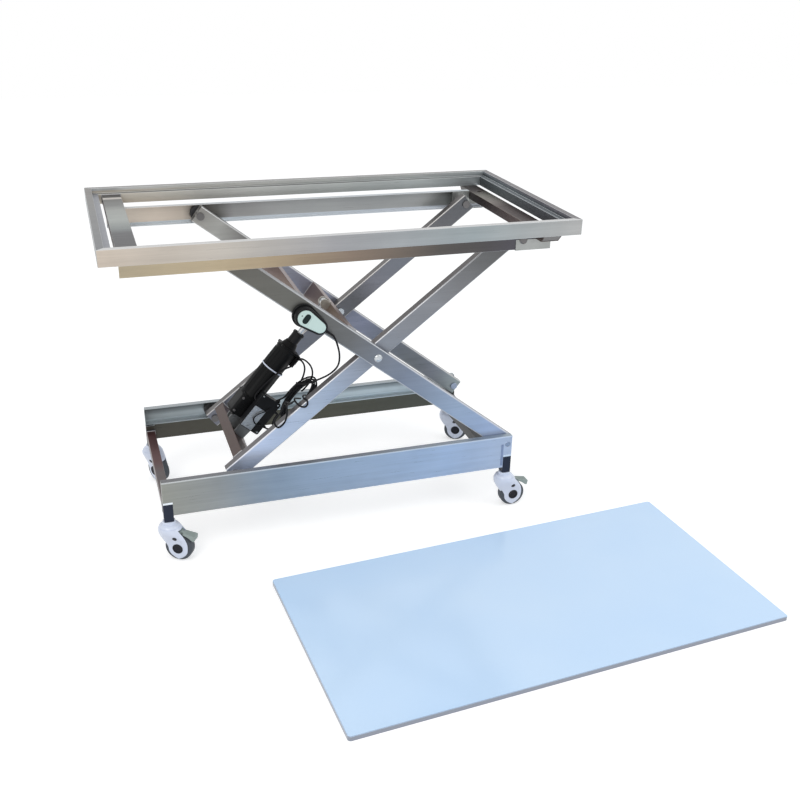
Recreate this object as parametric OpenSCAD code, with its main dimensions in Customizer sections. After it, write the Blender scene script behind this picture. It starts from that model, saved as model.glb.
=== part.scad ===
// Electric scissor-lift examination table with its lift-off top panel laid in front of it.
// Millimetres, +Z up. The table stands on its casters with the scissor at the photographed height.

/* [Top frame] */
// Length of the top frame
top_l = 1200; // [1160:10:1300]
// Width of the top frame
top_w = 640; // [600:5:700]
// Height of the top frame's rim above the floor
table_h = 875; // [840:1:900]
// Depth of the frame tube
frame_h = 40; // [35:1:50]
// Width of the frame tube
member_w = 34; // [30:1:40]
// Width of the rim round the panel seat
lip_w = 18; // [10:1:22]
// Depth of the panel seat below the rim
seat_d = 13; // [12.5:0.5:16]
// Wall of all the steel tubes and channels
wall_t = 2; // [1.5:0.5:2.5]

/* [Rails] */
// Height of the roller channels
rail_h = 52; // [48:1:58]
// Depth of the roller channels
rail_d = 18; // [16:1:22]
// Outer half width of the channels, from the middle plane
rail_y = 241; // [235:1:250]
// Distance of the upper channels' ends from the frame's ends
rail_inset = 47; // [40:1:60]

/* [Base] */
// Length of the base
base_l = 990; // [970:2:1040]
// Middle of the base along the table
base_mid_x = -9; // [-14:1:-4]
// Height of the base channel's top above the floor
base_top_z = 231; // [220:1:245]
// Height of the closed box under each base channel
box_h = 48; // [40:1:52]
// Side of the square corner plugs
plug_w = 25; // [24:0.5:26]
// Height of the steel collar round each plug
collar_h = 14; // [10:1:18]
// Width of the cross tubes
cross_w = 50; // [44:1:54]
// Depth of the cross tubes
cross_h = 25; // [20:1:26]

/* [Scissor] */
// Distance between an arm's two end pivots
arm_pitch = 985; // [965:5:1010]
// Depth of an arm tube
arm_h = 50; // [44:1:54]
// Width of an arm tube
arm_w = 28; // [24:1:28]
// Corner radius of an arm tube
arm_r = 4; // [2:0.5:6]
// Reach of an arm past its pivots
arm_end = 12; // [11:1:16]
// Side gap between the arms, and from the outer arms to the channels
side_gap = 2; // [1.5:0.5:2.5]
// Distance of the fixed pivots from the base's right end
pivot_inset = 13; // [12:1:20]
// Diameter of the pivot pins
pin_d = 16; // [12:1:18]
// Radial clearance of a pin in its bore
run_gap = 0.1; // [0.05:0.01:0.1]
// Width of a roller
roller_w = 14; // [10:1:14]
// Gap between a roller and the channel flanges
roller_gap = 0.3; // [0.3:0.1:1]

/* [Actuator] */
// Place of the lower pin along the inner arm
act_low_a = 70; // [66:1:76]
// Height of the lower pin over the inner arm's middle line
act_low_n = 43; // [42:1:46]
// Place of the upper pin along the outer arm
act_high_a = 365; // [360:1:368]
// Height of the upper pin over the outer arm's middle line
act_high_n = 16; // [13:1:18]
// Diameter of the actuator pins
act_pin_d = 10; // [8:0.5:12]
// Diameter of the moving rod
rod_d = 15; // [12:0.5:15]
// Outer diameter of the guide tube
guide_d = 32; // [32:0.5:36]
// Wall of the guide tube
guide_wall = 1.5; // [1:0.25:1.5]
// Diameter of the motor lobe of the housing
motor_d = 60; // [54:1:60]

/* [Casters] */
// Diameter of a wheel
wheel_d = 75; // [70:1:75]
// Width of a wheel
wheel_w = 27; // [22:1:28]
// Trail of a wheel behind its stem
trail = 26; // [20:1:28]
// Wall of the caster cheeks
cheek_t = 2.5; // [2:0.5:3.5]
// Gap between wheel and cheeks
cheek_gap = 1.5; // [1:0.5:2]
// Height of the caster from floor to plug
caster_h = 113; // [110:1:118]
// Diameter of the caster stem
stem_d = 11; // [9:0.5:12]

/* [Panel] */
// Length of the lift-off panel
panel_l = 1160; // [1100:5:1160]
// Width of the lift-off panel
panel_w = 600; // [560:5:600]
// Thickness of the lift-off panel
panel_t = 12; // [10:0.5:12]
// Corner radius of the panel
panel_r = 8; // [4:1:14]

/* [Handset] */
// Length of the handset
handset_l = 94.5; // [90:0.5:100]
// Radius of the handset's big end
handset_r = 27; // [25:0.5:29]
// Radius of the handset's small end
handset_tip_r = 20.5; // [17:0.5:22]
// Thickness of the handset without its face
handset_t = 18; // [14:1:20]
// Diameter of the handset lead
lead_d = 5; // [4.5:0.5:5]

/* [Hidden] */

// Overrun of every cut, and the slack between pieces that are set into each other
cut = 1;
slack = 0.3;
round_fn = 48;

// Colours
STEEL = [0.66, 0.69, 0.74];
WARM_STEEL = [0.62, 0.58, 0.50];
RUST = [0.34, 0.25, 0.22];
BRIGHT = [0.80, 0.82, 0.84];
BLACK = [0.08, 0.08, 0.09];
PEARL = [0.84, 0.86, 0.93];
GREY = [0.45, 0.50, 0.49];
AQUA = [0.80, 0.90, 0.87];
PALE_BLUE = [0.80, 0.87, 0.92];

// Heights and plan places of the frame and base
frame_z = table_h - frame_h;
top_rail_z = frame_z - rail_h;
high_z = frame_z - rail_h / 2;
base_rail_z = base_top_z - rail_h;
low_z = base_top_z - rail_h / 2;
box_z = base_rail_z - box_h;
base_x0 = base_mid_x - base_l / 2;
base_x1 = base_mid_x + base_l / 2;
pivot_x = base_x1 - pivot_inset;
lift_angle = asin((high_z - low_z) / arm_pitch);
roller_x = pivot_x - arm_pitch * cos(lift_angle);
inner_y = rail_y - rail_d;
arm_a_y = inner_y - side_gap - arm_w / 2;
arm_b_y = arm_a_y - arm_w - side_gap;
web_y = rail_y - wall_t;
pin_bore_d = pin_d + 2 * run_gap;

// The actuator's two pins, its length and its angle
low_pin = [roller_x + act_low_a * cos(lift_angle) - act_low_n * sin(lift_angle),
           low_z + act_low_a * sin(lift_angle) + act_low_n * cos(lift_angle)];
high_pin = [roller_x + act_high_a * cos(lift_angle) + act_high_n * sin(lift_angle),
            high_z - act_high_a * sin(lift_angle) + act_high_n * cos(lift_angle)];
act_l = norm(high_pin - low_pin);
act_angle = atan2(high_pin[1] - low_pin[1], high_pin[0] - low_pin[0]);

// The panel lies on the floor in front of the table, turned a little
panel_x = 335;
panel_y = -695;
panel_turn = 3.5;

// The whole set's middle in plan lies over the origin
reach_x = (panel_l / 2 - panel_r) * cos(panel_turn) + (panel_w / 2 - panel_r) * sin(panel_turn)
          + panel_r;
reach_y = (panel_l / 2 - panel_r) * sin(panel_turn) + (panel_w / 2 - panel_r) * cos(panel_turn)
          + panel_r;
set_x = (panel_x + reach_x - top_l / 2) / 2;
set_y = (panel_y - reach_y + top_w / 2) / 2;
module placed() translate([-set_x, -set_y, 0]) children();

// General shapes

// A child drawn in X and Z, made as thick as w along Y round the plane y
module slab(y, w) {
    translate([0, y, 0]) rotate([90, 0, 0]) linear_extrude(height = w, center = true) children();
}

// A round bar along Y
module bar_y(d, y0, y1) {
    translate([0, y1, 0]) rotate([90, 0, 0]) cylinder(d = d, h = y1 - y0, $fn = round_fn);
}

// A square with round corners, from true arcs
module round_square(size, r) {
    for (x = [-1, 1], y = [-1, 1])
        translate([x * (size[0] / 2 - r), y * (size[1] / 2 - r)]) circle(r = r, $fn = 32);
    square([size[0] - 2 * r, size[1]], center = true);
    square([size[0], size[1] - 2 * r], center = true);
}

// The outline of two round ends of unlike radius, l apart, with straight flanks
module teardrop(r0, r1, l) {
    hull() {
        circle(r = r0, $fn = 32);
        translate([l, 0]) circle(r = r1, $fn = 32);
    }
}

// Front is -1 and back is 1
module at_side(side) {
    if (side < 0) mirror([0, 1, 0]) children();
    if (side > 0) children();
}

// Top frame

// Section of the frame tube: outer face on the left, a seat for the panel on the right
module frame_section() {
    difference() {
        polygon([[0, 0], [member_w, 0], [member_w, frame_h - seat_d],
                 [lip_w, frame_h - seat_d], [lip_w, frame_h], [0, frame_h]]);
        polygon([[wall_t, wall_t], [member_w - wall_t, wall_t],
                 [member_w - wall_t, frame_h - seat_d - wall_t],
                 [lip_w - wall_t, frame_h - seat_d - wall_t],
                 [lip_w - wall_t, frame_h - wall_t], [wall_t, frame_h - wall_t]]);
    }
}

// A mitred frame tube along X, its outer face on y = 0 and its inside towards +Y
module frame_member(l) {
    intersection() {
        rotate([90, 0, 90]) linear_extrude(height = l, center = true) frame_section();
        linear_extrude(height = frame_h)
            polygon([[-l / 2, 0], [l / 2, 0], [l / 2 - member_w, member_w],
                     [-l / 2 + member_w, member_w]]);
    }
}

module frame_side(turn, l, reach) {
    placed() translate([0, 0, frame_z]) rotate(turn) translate([0, -reach, 0]) frame_member(l);
}

module frame_front() { color(STEEL) frame_side(0, top_l, top_w / 2); }
module frame_back() { color(STEEL) frame_side(180, top_l, top_w / 2); }
module frame_left() { color(STEEL) frame_side(-90, top_w, top_l / 2); }
module frame_right() { color(STEEL) frame_side(90, top_w, top_l / 2); }

// Rails

// Section of a roller channel in Y and Z, open towards the middle, its web outside
module channel_section() {
    difference() {
        square([rail_d, rail_h]);
        translate([-cut, wall_t]) square([rail_d - wall_t + cut, rail_h - 2 * wall_t]);
    }
}

module channel(l) {
    translate([0, inner_y, 0]) rotate([90, 0, 90]) linear_extrude(height = l) channel_section();
}

// Ends of the upper channels, past the fixed pivots, and places of the two cross tubes
rail_room = 80;
top_rail_x0 = rail_inset - top_l / 2;
top_rail_x1 = max(top_l / 2 - rail_inset, pivot_x + rail_room);
top_rail_l = top_rail_x1 - top_rail_x0;
cross_inset = 21;
right_cross_x = top_rail_x1 - cross_inset;
left_cross_x = top_rail_x0 + cross_inset;
right_cross_z = frame_z - cross_h;
right_cross_y = top_w / 2 - member_w / 2;

module top_rail(side) {
    placed() difference() {
        at_side(side) translate([top_rail_x0, 0, top_rail_z]) channel(top_rail_l);
        translate([right_cross_x - cross_w / 2, -rail_y - cut, right_cross_z])
            cube([cross_w + cut, 2 * (rail_y + cut), cross_h + cut]);
        translate([pivot_x, side * rail_y, high_z])
            bar_y(pin_bore_d, -rail_d, rail_d);
    }
}

module top_rail_front() { color(WARM_STEEL) top_rail(-1); }
module top_rail_back() { color(STEEL) top_rail(1); }

// The left cross tube lies on the rails and runs between the frame tubes
module top_cross_left() {
    reach = top_w / 2 - member_w;
    color(RUST) placed() translate([left_cross_x, 0, frame_z + cross_h / 2]) difference() {
        cube([cross_w, 2 * reach, cross_h], center = true);
        cube([cross_w - 2 * wall_t, 2 * reach + 2 * cut, cross_h - 2 * wall_t], center = true);
    }
}

// The right cross tube passes under the frame, with both ends cut on the slant
module top_cross_right() {
    reach = right_cross_y;
    color(RUST) placed() translate([right_cross_x, 0, right_cross_z]) intersection() {
        difference() {
            translate([-cross_w / 2, -reach, 0]) cube([cross_w, 2 * reach, cross_h]);
            translate([-cross_w / 2 + wall_t, -reach - cut, wall_t])
                cube([cross_w - 2 * wall_t, 2 * (reach + cut), cross_h - 2 * wall_t]);
            translate([0, cross_bolt_y, cross_h - wall_t - cut])
                linear_extrude(height = wall_t + 2 * cut) square(cross_slot_w, center = true);
        }
        rotate([90, 0, 90]) linear_extrude(height = 2 * cross_w, center = true)
            polygon([[-reach, cross_h], [reach, cross_h], [reach - cross_h, 0],
                     [-reach + cross_h, 0]]);
    }
}
cross_bolt_y = 205;
cross_slot_w = 12;

// Folded straps that stiffen the rails round the fixed upper pivots
bracket_t = 2;
bracket_reach = 21;
bracket_x0 = pivot_x - bracket_reach;
module pivot_bracket(side) {
    outer_h = rail_h - cross_h;
    inner_l = right_cross_x - cross_w / 2 - slack - bracket_x0;
    placed() at_side(side) difference() {
        union() {
            translate([bracket_x0, rail_y, top_rail_z - bracket_t])
                cube([top_rail_x1 - bracket_x0, bracket_t, outer_h + bracket_t]);
            translate([bracket_x0, inner_y - bracket_t, top_rail_z - bracket_t])
                cube([top_rail_x1 - bracket_x0, rail_d + 2 * bracket_t, bracket_t]);
            translate([bracket_x0, inner_y - bracket_t, top_rail_z - bracket_t])
                cube([inner_l, bracket_t, rail_h]);
        }
        translate([pivot_x, 0, high_z]) bar_y(pin_bore_d, 0, rail_y + rail_d);
    }
}
module pivot_brackets() {
    color(BRIGHT) for (side = [-1, 1]) pivot_bracket(side);
}

// Pins

head_t = 4;
head_d = 22;
washer_t = 1.5;

// A pin through inner and outer faces, with a domed head outside and a collar inside
module pin(y0, y1) {
    bar_y(pin_d, y0, y1);
    bar_y(head_d, y0 - head_t, y0);
    bar_y(head_d, y1, y1 + washer_t);
    translate([0, y1 + washer_t, 0]) rotate([-90, 0, 0])
        cylinder(d1 = head_d - washer_t, d2 = pin_d, h = head_t - washer_t, $fn = round_fn);
}

module upper_pivot_bolts() {
    color(BRIGHT) for (side = [-1, 1]) placed() at_side(side) translate([pivot_x, 0, high_z]) {
        pin(arm_b_y - arm_w / 2 - slack, rail_y + bracket_t);
        bar_y(head_d, arm_b_y + arm_w / 2 + slack, inner_y - bracket_t);
    }
}

module lower_pivot_bolts() {
    color(BRIGHT) for (side = [-1, 1]) placed() at_side(side) translate([pivot_x, 0, low_z]) {
        pin(arm_a_y - arm_w / 2 - slack, rail_y);
        bar_y(head_d, inner_y + slack, web_y);
    }
}

module centre_pins() {
    color(BRIGHT) for (side = [-1, 1]) placed() at_side(side)
        translate([(pivot_x + roller_x) / 2, 0, (high_z + low_z) / 2])
            pin(arm_b_y - arm_w / 2 - slack, arm_a_y + arm_w / 2);
}

// Axle of one roller, from the arm's inner face to the roller's outer face
roller_y = (inner_y + web_y) / 2;
module roller_axle(x, z, arm_y) {
    translate([x, 0, z]) {
        bar_y(pin_d, arm_y - arm_w / 2, roller_y + roller_w / 2);
        bar_y(head_d, arm_y - arm_w / 2 - head_t, arm_y - arm_w / 2);
    }
}
module upper_roller_axles() {
    color(BRIGHT) for (side = [-1, 1]) placed() at_side(side) roller_axle(roller_x, high_z, arm_a_y);
}
module lower_roller_axles() {
    color(BRIGHT) for (side = [-1, 1]) placed() at_side(side) {
        roller_axle(roller_x, low_z, arm_b_y);
        translate([roller_x, 0, low_z])
            bar_y(head_d, arm_b_y + arm_w / 2, roller_y - roller_w / 2 - slack);
    }
}

// Nylon rollers with a shallow groove round the hub
groove_d = 1.5;
module roller(side, z) {
    d = rail_h - 2 * wall_t - 2 * roller_gap;
    rim = 5;
    color(BLACK) placed() at_side(side) translate([roller_x, 0, z]) difference() {
        bar_y(d, roller_y - roller_w / 2, roller_y + roller_w / 2);
        bar_y(pin_bore_d, 0, rail_y + rail_d);
        for (face = [-1, 1]) translate([0, roller_y + face * roller_w / 2, 0]) difference() {
            bar_y(d - 2 * rim, -groove_d, groove_d);
            bar_y(pin_d + 2 * rim, -2 * groove_d, 2 * groove_d);
        }
    }
}
module roller_a_front() { roller(-1, high_z); }
module roller_a_back() { roller(1, high_z); }
module roller_b_front() { roller(-1, low_z); }
module roller_b_back() { roller(1, low_z); }

// Base

module base_rail(side) {
    corner = plug_w;
    placed() at_side(side) difference() {
        union() {
            translate([base_x0, 0, base_rail_z]) channel(base_l);
            for (x = [base_x0, base_x1 - wall_t])
                translate([x, inner_y, base_rail_z]) cube([wall_t, rail_d, rail_h]);
            translate([base_x0 + corner, inner_y, box_z]) difference() {
                cube([base_l - 2 * corner, rail_d, box_h]);
                translate([wall_t, wall_t, wall_t])
                    cube([base_l - 2 * corner - 2 * wall_t, rail_d - 2 * wall_t,
                          box_h - 2 * wall_t]);
            }
            for (x = [base_x0, base_x1 - plug_w])
                translate([x, rail_y - plug_w, base_rail_z - collar_h]) difference() {
                    cube([plug_w, plug_w, collar_h]);
                    translate([wall_t, wall_t, -cut])
                        cube([plug_w - 2 * wall_t, plug_w - 2 * wall_t, collar_h + 2 * cut]);
                }
        }
        translate([pivot_x, 0, low_z]) bar_y(pin_bore_d, web_y - cut, rail_y + cut);
        translate([base_x1 - plug_w - cut, rail_y - plug_w - cut, base_rail_z - arm_room])
            cube([plug_w + 2 * cut, plug_w - rail_d + cut, arm_room + cut]);
    }
}
// Room under the outer arms' lower corners
arm_room = 3;
module base_rail_front() { color(STEEL) base_rail(-1); }
module base_rail_back() { color(STEEL) base_rail(1); }

base_cross_h = 30;
left_base_cross_w = plug_w;
right_base_cross_w = cross_w;
module base_cross(x0, w) {
    reach = rail_y - plug_w;
    color(RUST) placed() translate([x0, 0, box_z]) rotate([90, 0, 0])
        linear_extrude(height = 2 * reach, center = true) difference() {
            square([w, base_cross_h]);
            translate([wall_t, wall_t]) square([w - 2 * wall_t, base_cross_h - 2 * wall_t]);
        }
}
module base_cross_left() { base_cross(base_x0, left_base_cross_w); }
module base_cross_right() { base_cross(base_x1 - right_base_cross_w, right_base_cross_w); }

// Casters

stem_x0 = base_x0 + plug_w / 2;
stem_x1 = base_x1 - plug_w / 2;
stem_y = rail_y - plug_w / 2;
stem_l = 40;
plug_top_z = base_rail_z - collar_h;
spigot_w = plug_w - 2 * wall_t - 2 * slack;

// Each corner: place of the stem, and the way the wheel trails
CORNERS = [["fl", stem_x0, -stem_y, -30], ["fr", stem_x1, -stem_y, 0],
           ["bl", stem_x0, stem_y, -60], ["br", stem_x1, stem_y, -25]];

module at_corner(i) {
    placed() translate([CORNERS[i][1], CORNERS[i][2], 0]) rotate(CORNERS[i][3]) children();
}

module stem_plugs() {
    color(BLACK) for (c = CORNERS) placed() translate([c[1], c[2], caster_h]) difference() {
        union() {
            translate([-plug_w / 2, -plug_w / 2, 0])
                cube([plug_w, plug_w, plug_top_z - caster_h]);
            translate([-spigot_w / 2, -spigot_w / 2, 0])
                cube([spigot_w, spigot_w, plug_top_z - caster_h + collar_h - arm_room]);
        }
        translate([0, 0, -cut])
            cylinder(d = stem_d + 2 * run_gap, h = stem_l + cut + slack, $fn = round_fn);
    }
}

axle_d = 10;
cap_d = 25;
cap_t = 1.5;
cheek_hole_d = 11;
cheek_hole_rise = 28;
wheel_z = wheel_d / 2;
hood_w = wheel_w + 2 * cheek_gap + 2 * cheek_t;
tread_show = 4.5;
cheek_r = wheel_d / 2 - tread_show;
dome_d = 62;
crown_h = 26;
dome_z = caster_h - crown_h;
// Shares of the crown's height, of the trail and of the dome's width in the hood's outline
back_drop_share = 0.80;
front_drop_share = 0.86;
trail_share = 0.70;
shoulder_share = 0.42;
neck_d = 34;
neck_h = 3;
wheel_room = 3;
pedal_x = 30;
pedal_drop = 33;
pedal_z = caster_h - pedal_drop;
pedal_pin_d = 6;
pedal_w = 26;
pedal_room = 16;
pedal_lift = 8.4;

// Side outline of the hood: a crown over the wheel that runs down into round cheeks
module hood_outline() {
    x0 = -dome_d / 2;
    x1 = dome_d / 2;
    translate([trail, wheel_z]) circle(r = cheek_r, $fn = round_fn);
    polygon([[x0, dome_z], [x0, dome_z * back_drop_share], [trail - cheek_r, wheel_z],
             [trail + cheek_r, wheel_z],
             [x1 + trail * trail_share, dome_z * front_drop_share], [x1, dome_z]]);
}

// The wheel's room inside the hood, open at the bottom
module hood_room() {
    translate([trail, wheel_z]) circle(r = wheel_d / 2 + wheel_room, $fn = round_fn);
    translate([-dome_d, -cut]) square([3 * dome_d, wheel_z + trail / 2 + cut]);
}

module hood_body() {
    slab(0, hood_w) hood_outline();
    rotate_extrude($fn = round_fn)
        polygon([[0, dome_z - wheel_room], [dome_d / 2, dome_z - wheel_room],
                 [dome_d / 2, dome_z], [dome_d * shoulder_share, caster_h - 3 * neck_h],
                 [neck_d / 2, caster_h - neck_h], [neck_d / 2, caster_h - slack],
                 [0, caster_h - slack]]);
    cylinder(d = stem_d, h = caster_h + stem_l - slack, $fn = round_fn);
}

module caster_hood(i, braked) {
    color(PEARL) at_corner(i) difference() {
        intersection() {
            hood_body();
            translate([-dome_d, -dome_d, wheel_z - cheek_r])
                cube([3 * dome_d, 2 * dome_d, 2 * caster_h]);
        }
        slab(0, wheel_w + 2 * cheek_gap) hood_room();
        translate([trail, 0, wheel_z]) bar_y(axle_d + 2 * run_gap, -hood_w, hood_w);
        translate([trail, 0, wheel_z + cheek_hole_rise]) bar_y(cheek_hole_d, -hood_w, hood_w);
        if (braked) {
            translate([pedal_x, 0, pedal_z])
                bar_y(pedal_pin_d + 2 * run_gap, -hood_w, hood_w);
            translate([pedal_x - 2 * pedal_pin_d, -pedal_w / 2 - cheek_gap, pedal_z - pedal_room])
                cube([dome_d, pedal_w + 2 * cheek_gap, pedal_room + pedal_lift]);
        }
    }
}
module caster_hood_fl() { caster_hood(0, true); }
module caster_hood_fr() { caster_hood(1, true); }
module caster_hood_bl() { caster_hood(2, false); }
module caster_hood_br() { caster_hood(3, false); }

tread_r = 4;
hub_share = 0.62;
module caster_wheel(i) {
    r = wheel_d / 2;
    hub_r = r * hub_share;
    dish = 3;
    color(BLACK) at_corner(i) translate([trail, 0, wheel_z]) rotate([90, 0, 0]) {
        rotate_extrude($fn = 72)
            polygon([[0, -wheel_w / 2], [axle_d, -wheel_w / 2], [axle_d + dish, -wheel_w / 2 + dish],
                     [hub_r, -wheel_w / 2 + dish], [hub_r + dish, -wheel_w / 2],
                     [r - tread_r, -wheel_w / 2], [r - tread_r / 3, -wheel_w / 2 + tread_r / 3],
                     [r, -wheel_w / 2 + tread_r],
                     [r, wheel_w / 2 - tread_r], [r - tread_r / 3, wheel_w / 2 - tread_r / 3],
                     [r - tread_r, wheel_w / 2],
                     [hub_r + dish, wheel_w / 2], [hub_r, wheel_w / 2 - dish],
                     [axle_d + dish, wheel_w / 2 - dish], [axle_d, wheel_w / 2], [0, wheel_w / 2]]);
        cylinder(d = axle_d, h = hood_w + 2 * slack, center = true, $fn = round_fn);
        for (face = [-1, 1]) translate([0, 0, face * (hood_w / 2 + slack + cap_t / 2)])
            cylinder(d = cap_d, h = cap_t, center = true, $fn = round_fn);
    }
}
module caster_wheel_fl() { caster_wheel(0); }
module caster_wheel_fr() { caster_wheel(1); }
module caster_wheel_bl() { caster_wheel(2); }
module caster_wheel_br() { caster_wheel(3); }

// A foot pedal on a cross pin, broad and rounded at its outer end
pedal_l = 36;
pedal_t = 5;
pedal_dip = 14;
module brake_pedal(i) {
    color(GREY) at_corner(i) translate([pedal_x, 0, pedal_z]) {
        bar_y(pedal_pin_d, -hood_w / 2 + slack, hood_w / 2 - slack);
        rotate([0, pedal_dip, 0]) translate([0, 0, -pedal_t / 2]) linear_extrude(height = pedal_t) {
            translate([0, -pedal_w / 2]) square([pedal_l - pedal_w / 2, pedal_w]);
            translate([pedal_l - pedal_w / 2, 0]) circle(d = pedal_w, $fn = round_fn);
        }
    }
}
module brake_pedal_fl() { brake_pedal(0); }
module brake_pedal_fr() { brake_pedal(1); }

// Arms

// The outer arms run down to the right, the inner arms run up to the right
module on_arm_a() {
    placed() translate([roller_x, 0, high_z]) rotate([0, lift_angle, 0]) children();
}
module on_arm_b() {
    placed() translate([roller_x, 0, low_z]) rotate([0, -lift_angle, 0]) children();
}

bush_wall = 3;
module arm_tube() {
    difference() {
        union() {
            translate([-arm_end, 0, 0]) rotate([90, 0, 90])
                linear_extrude(height = arm_pitch + 2 * arm_end) difference() {
                    round_square([arm_w, arm_h], arm_r);
                    round_square([arm_w - 2 * wall_t, arm_h - 2 * wall_t], arm_r - wall_t / 2);
                }
            for (x = [0, arm_pitch / 2, arm_pitch]) translate([x, 0, 0])
                bar_y(pin_bore_d + 2 * bush_wall, -arm_w / 2, arm_w / 2);
        }
        for (x = [0, arm_pitch / 2, arm_pitch]) translate([x, 0, 0])
            bar_y(pin_bore_d, -arm_w, arm_w);
    }
}
module arm_at(side, y) {
    translate([0, side * y, 0]) arm_tube();
}

module arm_a_front() { color(STEEL) on_arm_a() arm_at(-1, arm_a_y); }
module arm_a_back() { color(STEEL) on_arm_a() arm_at(1, arm_a_y); }
module arm_b_front() { color(STEEL) on_arm_b() arm_at(-1, arm_b_y); }
module arm_b_back() { color(STEEL) on_arm_b() arm_at(1, arm_b_y); }

// A tube across between two arms, in the arm's own frame
module arm_tie_tube(x0, w, h, z0, reach) {
    translate([x0, 0, z0]) rotate([90, 0, 0]) linear_extrude(height = 2 * reach, center = true)
        difference() {
            square([w, h]);
            translate([wall_t, wall_t]) square([w - 2 * wall_t, h - 2 * wall_t]);
        }
}
a_tie_x = 205;
beam_setback = 14;
beam_gap = 3;
rod_lean = max(0, lift_angle + act_angle - 90);
rod_reach = (act_high_n + arm_h / 2) * tan(rod_lean) + rod_d / 2 / cos(rod_lean) + beam_gap;
beam_x = act_high_a + max(beam_setback, rod_reach);
b_tie_x = 20;
b_tie_w = 30;
module arm_a_tie() {
    color(WARM_STEEL) on_arm_a()
        arm_tie_tube(a_tie_x, cross_h, arm_h, -arm_h / 2, arm_a_y - arm_w / 2);
}
module actuator_beam() {
    color(RUST) on_arm_a()
        arm_tie_tube(beam_x, cross_h, arm_h, -arm_h / 2, arm_a_y - arm_w / 2);
}
module arm_b_tie() {
    color(RUST) on_arm_b()
        arm_tie_tube(b_tie_x, b_tie_w, arm_h, -arm_h / 2, arm_b_y - arm_w / 2);
}

// Actuator

eye_w = 18;
eye_r = 11;
plate_t = 5;
plate_gap = 0.5;
clevis_r = 13;
pin_head_d = 15;
act_bore_d = act_pin_d + 2 * run_gap;

// The upper clevis: two plates on the beam, with their pin
module rod_clevis() {
    inner = eye_w / 2 + plate_gap;
    color(GREY) on_arm_a() {
        for (side = [-1, 1]) slab(side * (inner + plate_t / 2), plate_t) {
            translate([act_high_a, act_high_n]) circle(r = clevis_r, $fn = round_fn);
            translate([act_high_a, act_high_n - clevis_r])
                square([beam_x - act_high_a, 2 * clevis_r]);
        }
        translate([act_high_a, 0, act_high_n]) {
            bar_y(act_pin_d, -inner - plate_t, inner + plate_t);
            bar_y(pin_head_d, -inner - plate_t - head_t / 2, -inner - plate_t);
            bar_y(pin_head_d, inner + plate_t, inner + plate_t + head_t / 2);
        }
    }
}

// The lower clevis on the inner arms' tie, with a side plate that carries the control box
box_back_y = -37;
box_plate_t = 3;
plate_rise = 7.5;
module motor_bracket() {
    inner = eye_w / 2 + plate_gap;
    tie_x = b_tie_x + b_tie_w;
    top = arm_h / 2;
    shoulder = top - wall_t;
    color(GREY) on_arm_b() {
        for (side = [-1, 1]) slab(side * (inner + plate_t / 2), plate_t) {
            translate([act_low_a, act_low_n]) circle(r = clevis_r, $fn = round_fn);
            polygon([[tie_x, -top / 2], [tie_x, shoulder], [act_low_a - clevis_r, act_low_n],
                     [act_low_a + clevis_r, act_low_n], [act_low_a + clevis_r, 0],
                     [act_low_a, -top / 2]]);
        }
        translate([act_low_a, 0, act_low_n]) {
            bar_y(act_pin_d, -inner - plate_t, inner + plate_t);
            bar_y(pin_head_d, -inner - plate_t - head_t / 2, -inner - plate_t);
            bar_y(pin_head_d, inner + plate_t, inner + plate_t + head_t / 2);
        }
        slab(box_back_y + box_plate_t / 2, box_plate_t)
            polygon([[tie_x, -top / 2], [tie_x, shoulder], [2 * tie_x, top + plate_rise],
                     [2 * tie_x, -top / 3]]);
    }
}

// The actuator's own frame: origin on the lower pin, X towards the upper pin
module on_actuator() {
    placed() translate([low_pin[0], 0, low_pin[1]]) rotate([0, -act_angle, 0]) children();
}
module bar_x(d, x0, x1) {
    translate([x0, 0, 0]) rotate([0, 90, 0]) cylinder(d = d, h = x1 - x0, $fn = round_fn);
}

gear_x0 = 19;
gear_l = 58;
can_x1 = 255;
guide_x0 = 165;
guide_x1 = 305;
lobe_z = 12;
screw_lobe_share = 0.75;
nose_share = 1.5;
gear_w = 60;
gear_h = 62;
gear_z = -3;
gear_r = 8;

// Cast gear housing with the rear eye
module gear_housing() {
    color(BLACK) on_actuator() difference() {
        union() {
            translate([gear_x0, 0, gear_z]) rotate([90, 0, 90])
                linear_extrude(height = gear_l) round_square([gear_w, gear_h], gear_r);
            bar_y(2 * eye_r, -eye_w / 2, eye_w / 2);
            translate([0, -eye_w / 2, -eye_r]) cube([gear_x0 + wall_t, eye_w, 2 * eye_r]);
        }
        bar_y(act_bore_d, -eye_w, eye_w);
    }
}

// Two-lobed motor and screw casting, with a sloping nose round the guide tube
module can_section() {
    circle(d = motor_d, $fn = round_fn);
    translate([0, -lobe_z]) circle(d = motor_d * screw_lobe_share, $fn = round_fn);
}
module motor_can() {
    nose_l = 18;
    rib_w = 6;
    color(BLACK) on_actuator() difference() {
        union() {
            translate([gear_x0 + gear_l, 0, 0]) rotate([90, 0, 90])
                linear_extrude(height = can_x1 - gear_x0 - gear_l) can_section();
            translate([can_x1, 0, 0]) rotate([0, 90, 0])
                cylinder(d1 = guide_d * nose_share, d2 = guide_d + 2 * guide_wall, h = nose_l,
                         $fn = round_fn);
            for (x = [gear_x0 + gear_l, can_x1 - rib_w]) translate([x, 0, gear_z]) rotate([90, 0, 90])
                linear_extrude(height = rib_w) round_square([gear_w, gear_h - rib_w / 2], gear_r);
        }
        bar_x(guide_d + 2 * slack, guide_x0 - wall_t - slack, guide_x1);
    }
}

module guide_tube() {
    color(BLACK) on_actuator() difference() {
        bar_x(guide_d, guide_x0 - wall_t, guide_x1);
        bar_x(guide_d - 2 * guide_wall, guide_x0, guide_x1 + cut);
    }
}

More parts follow.
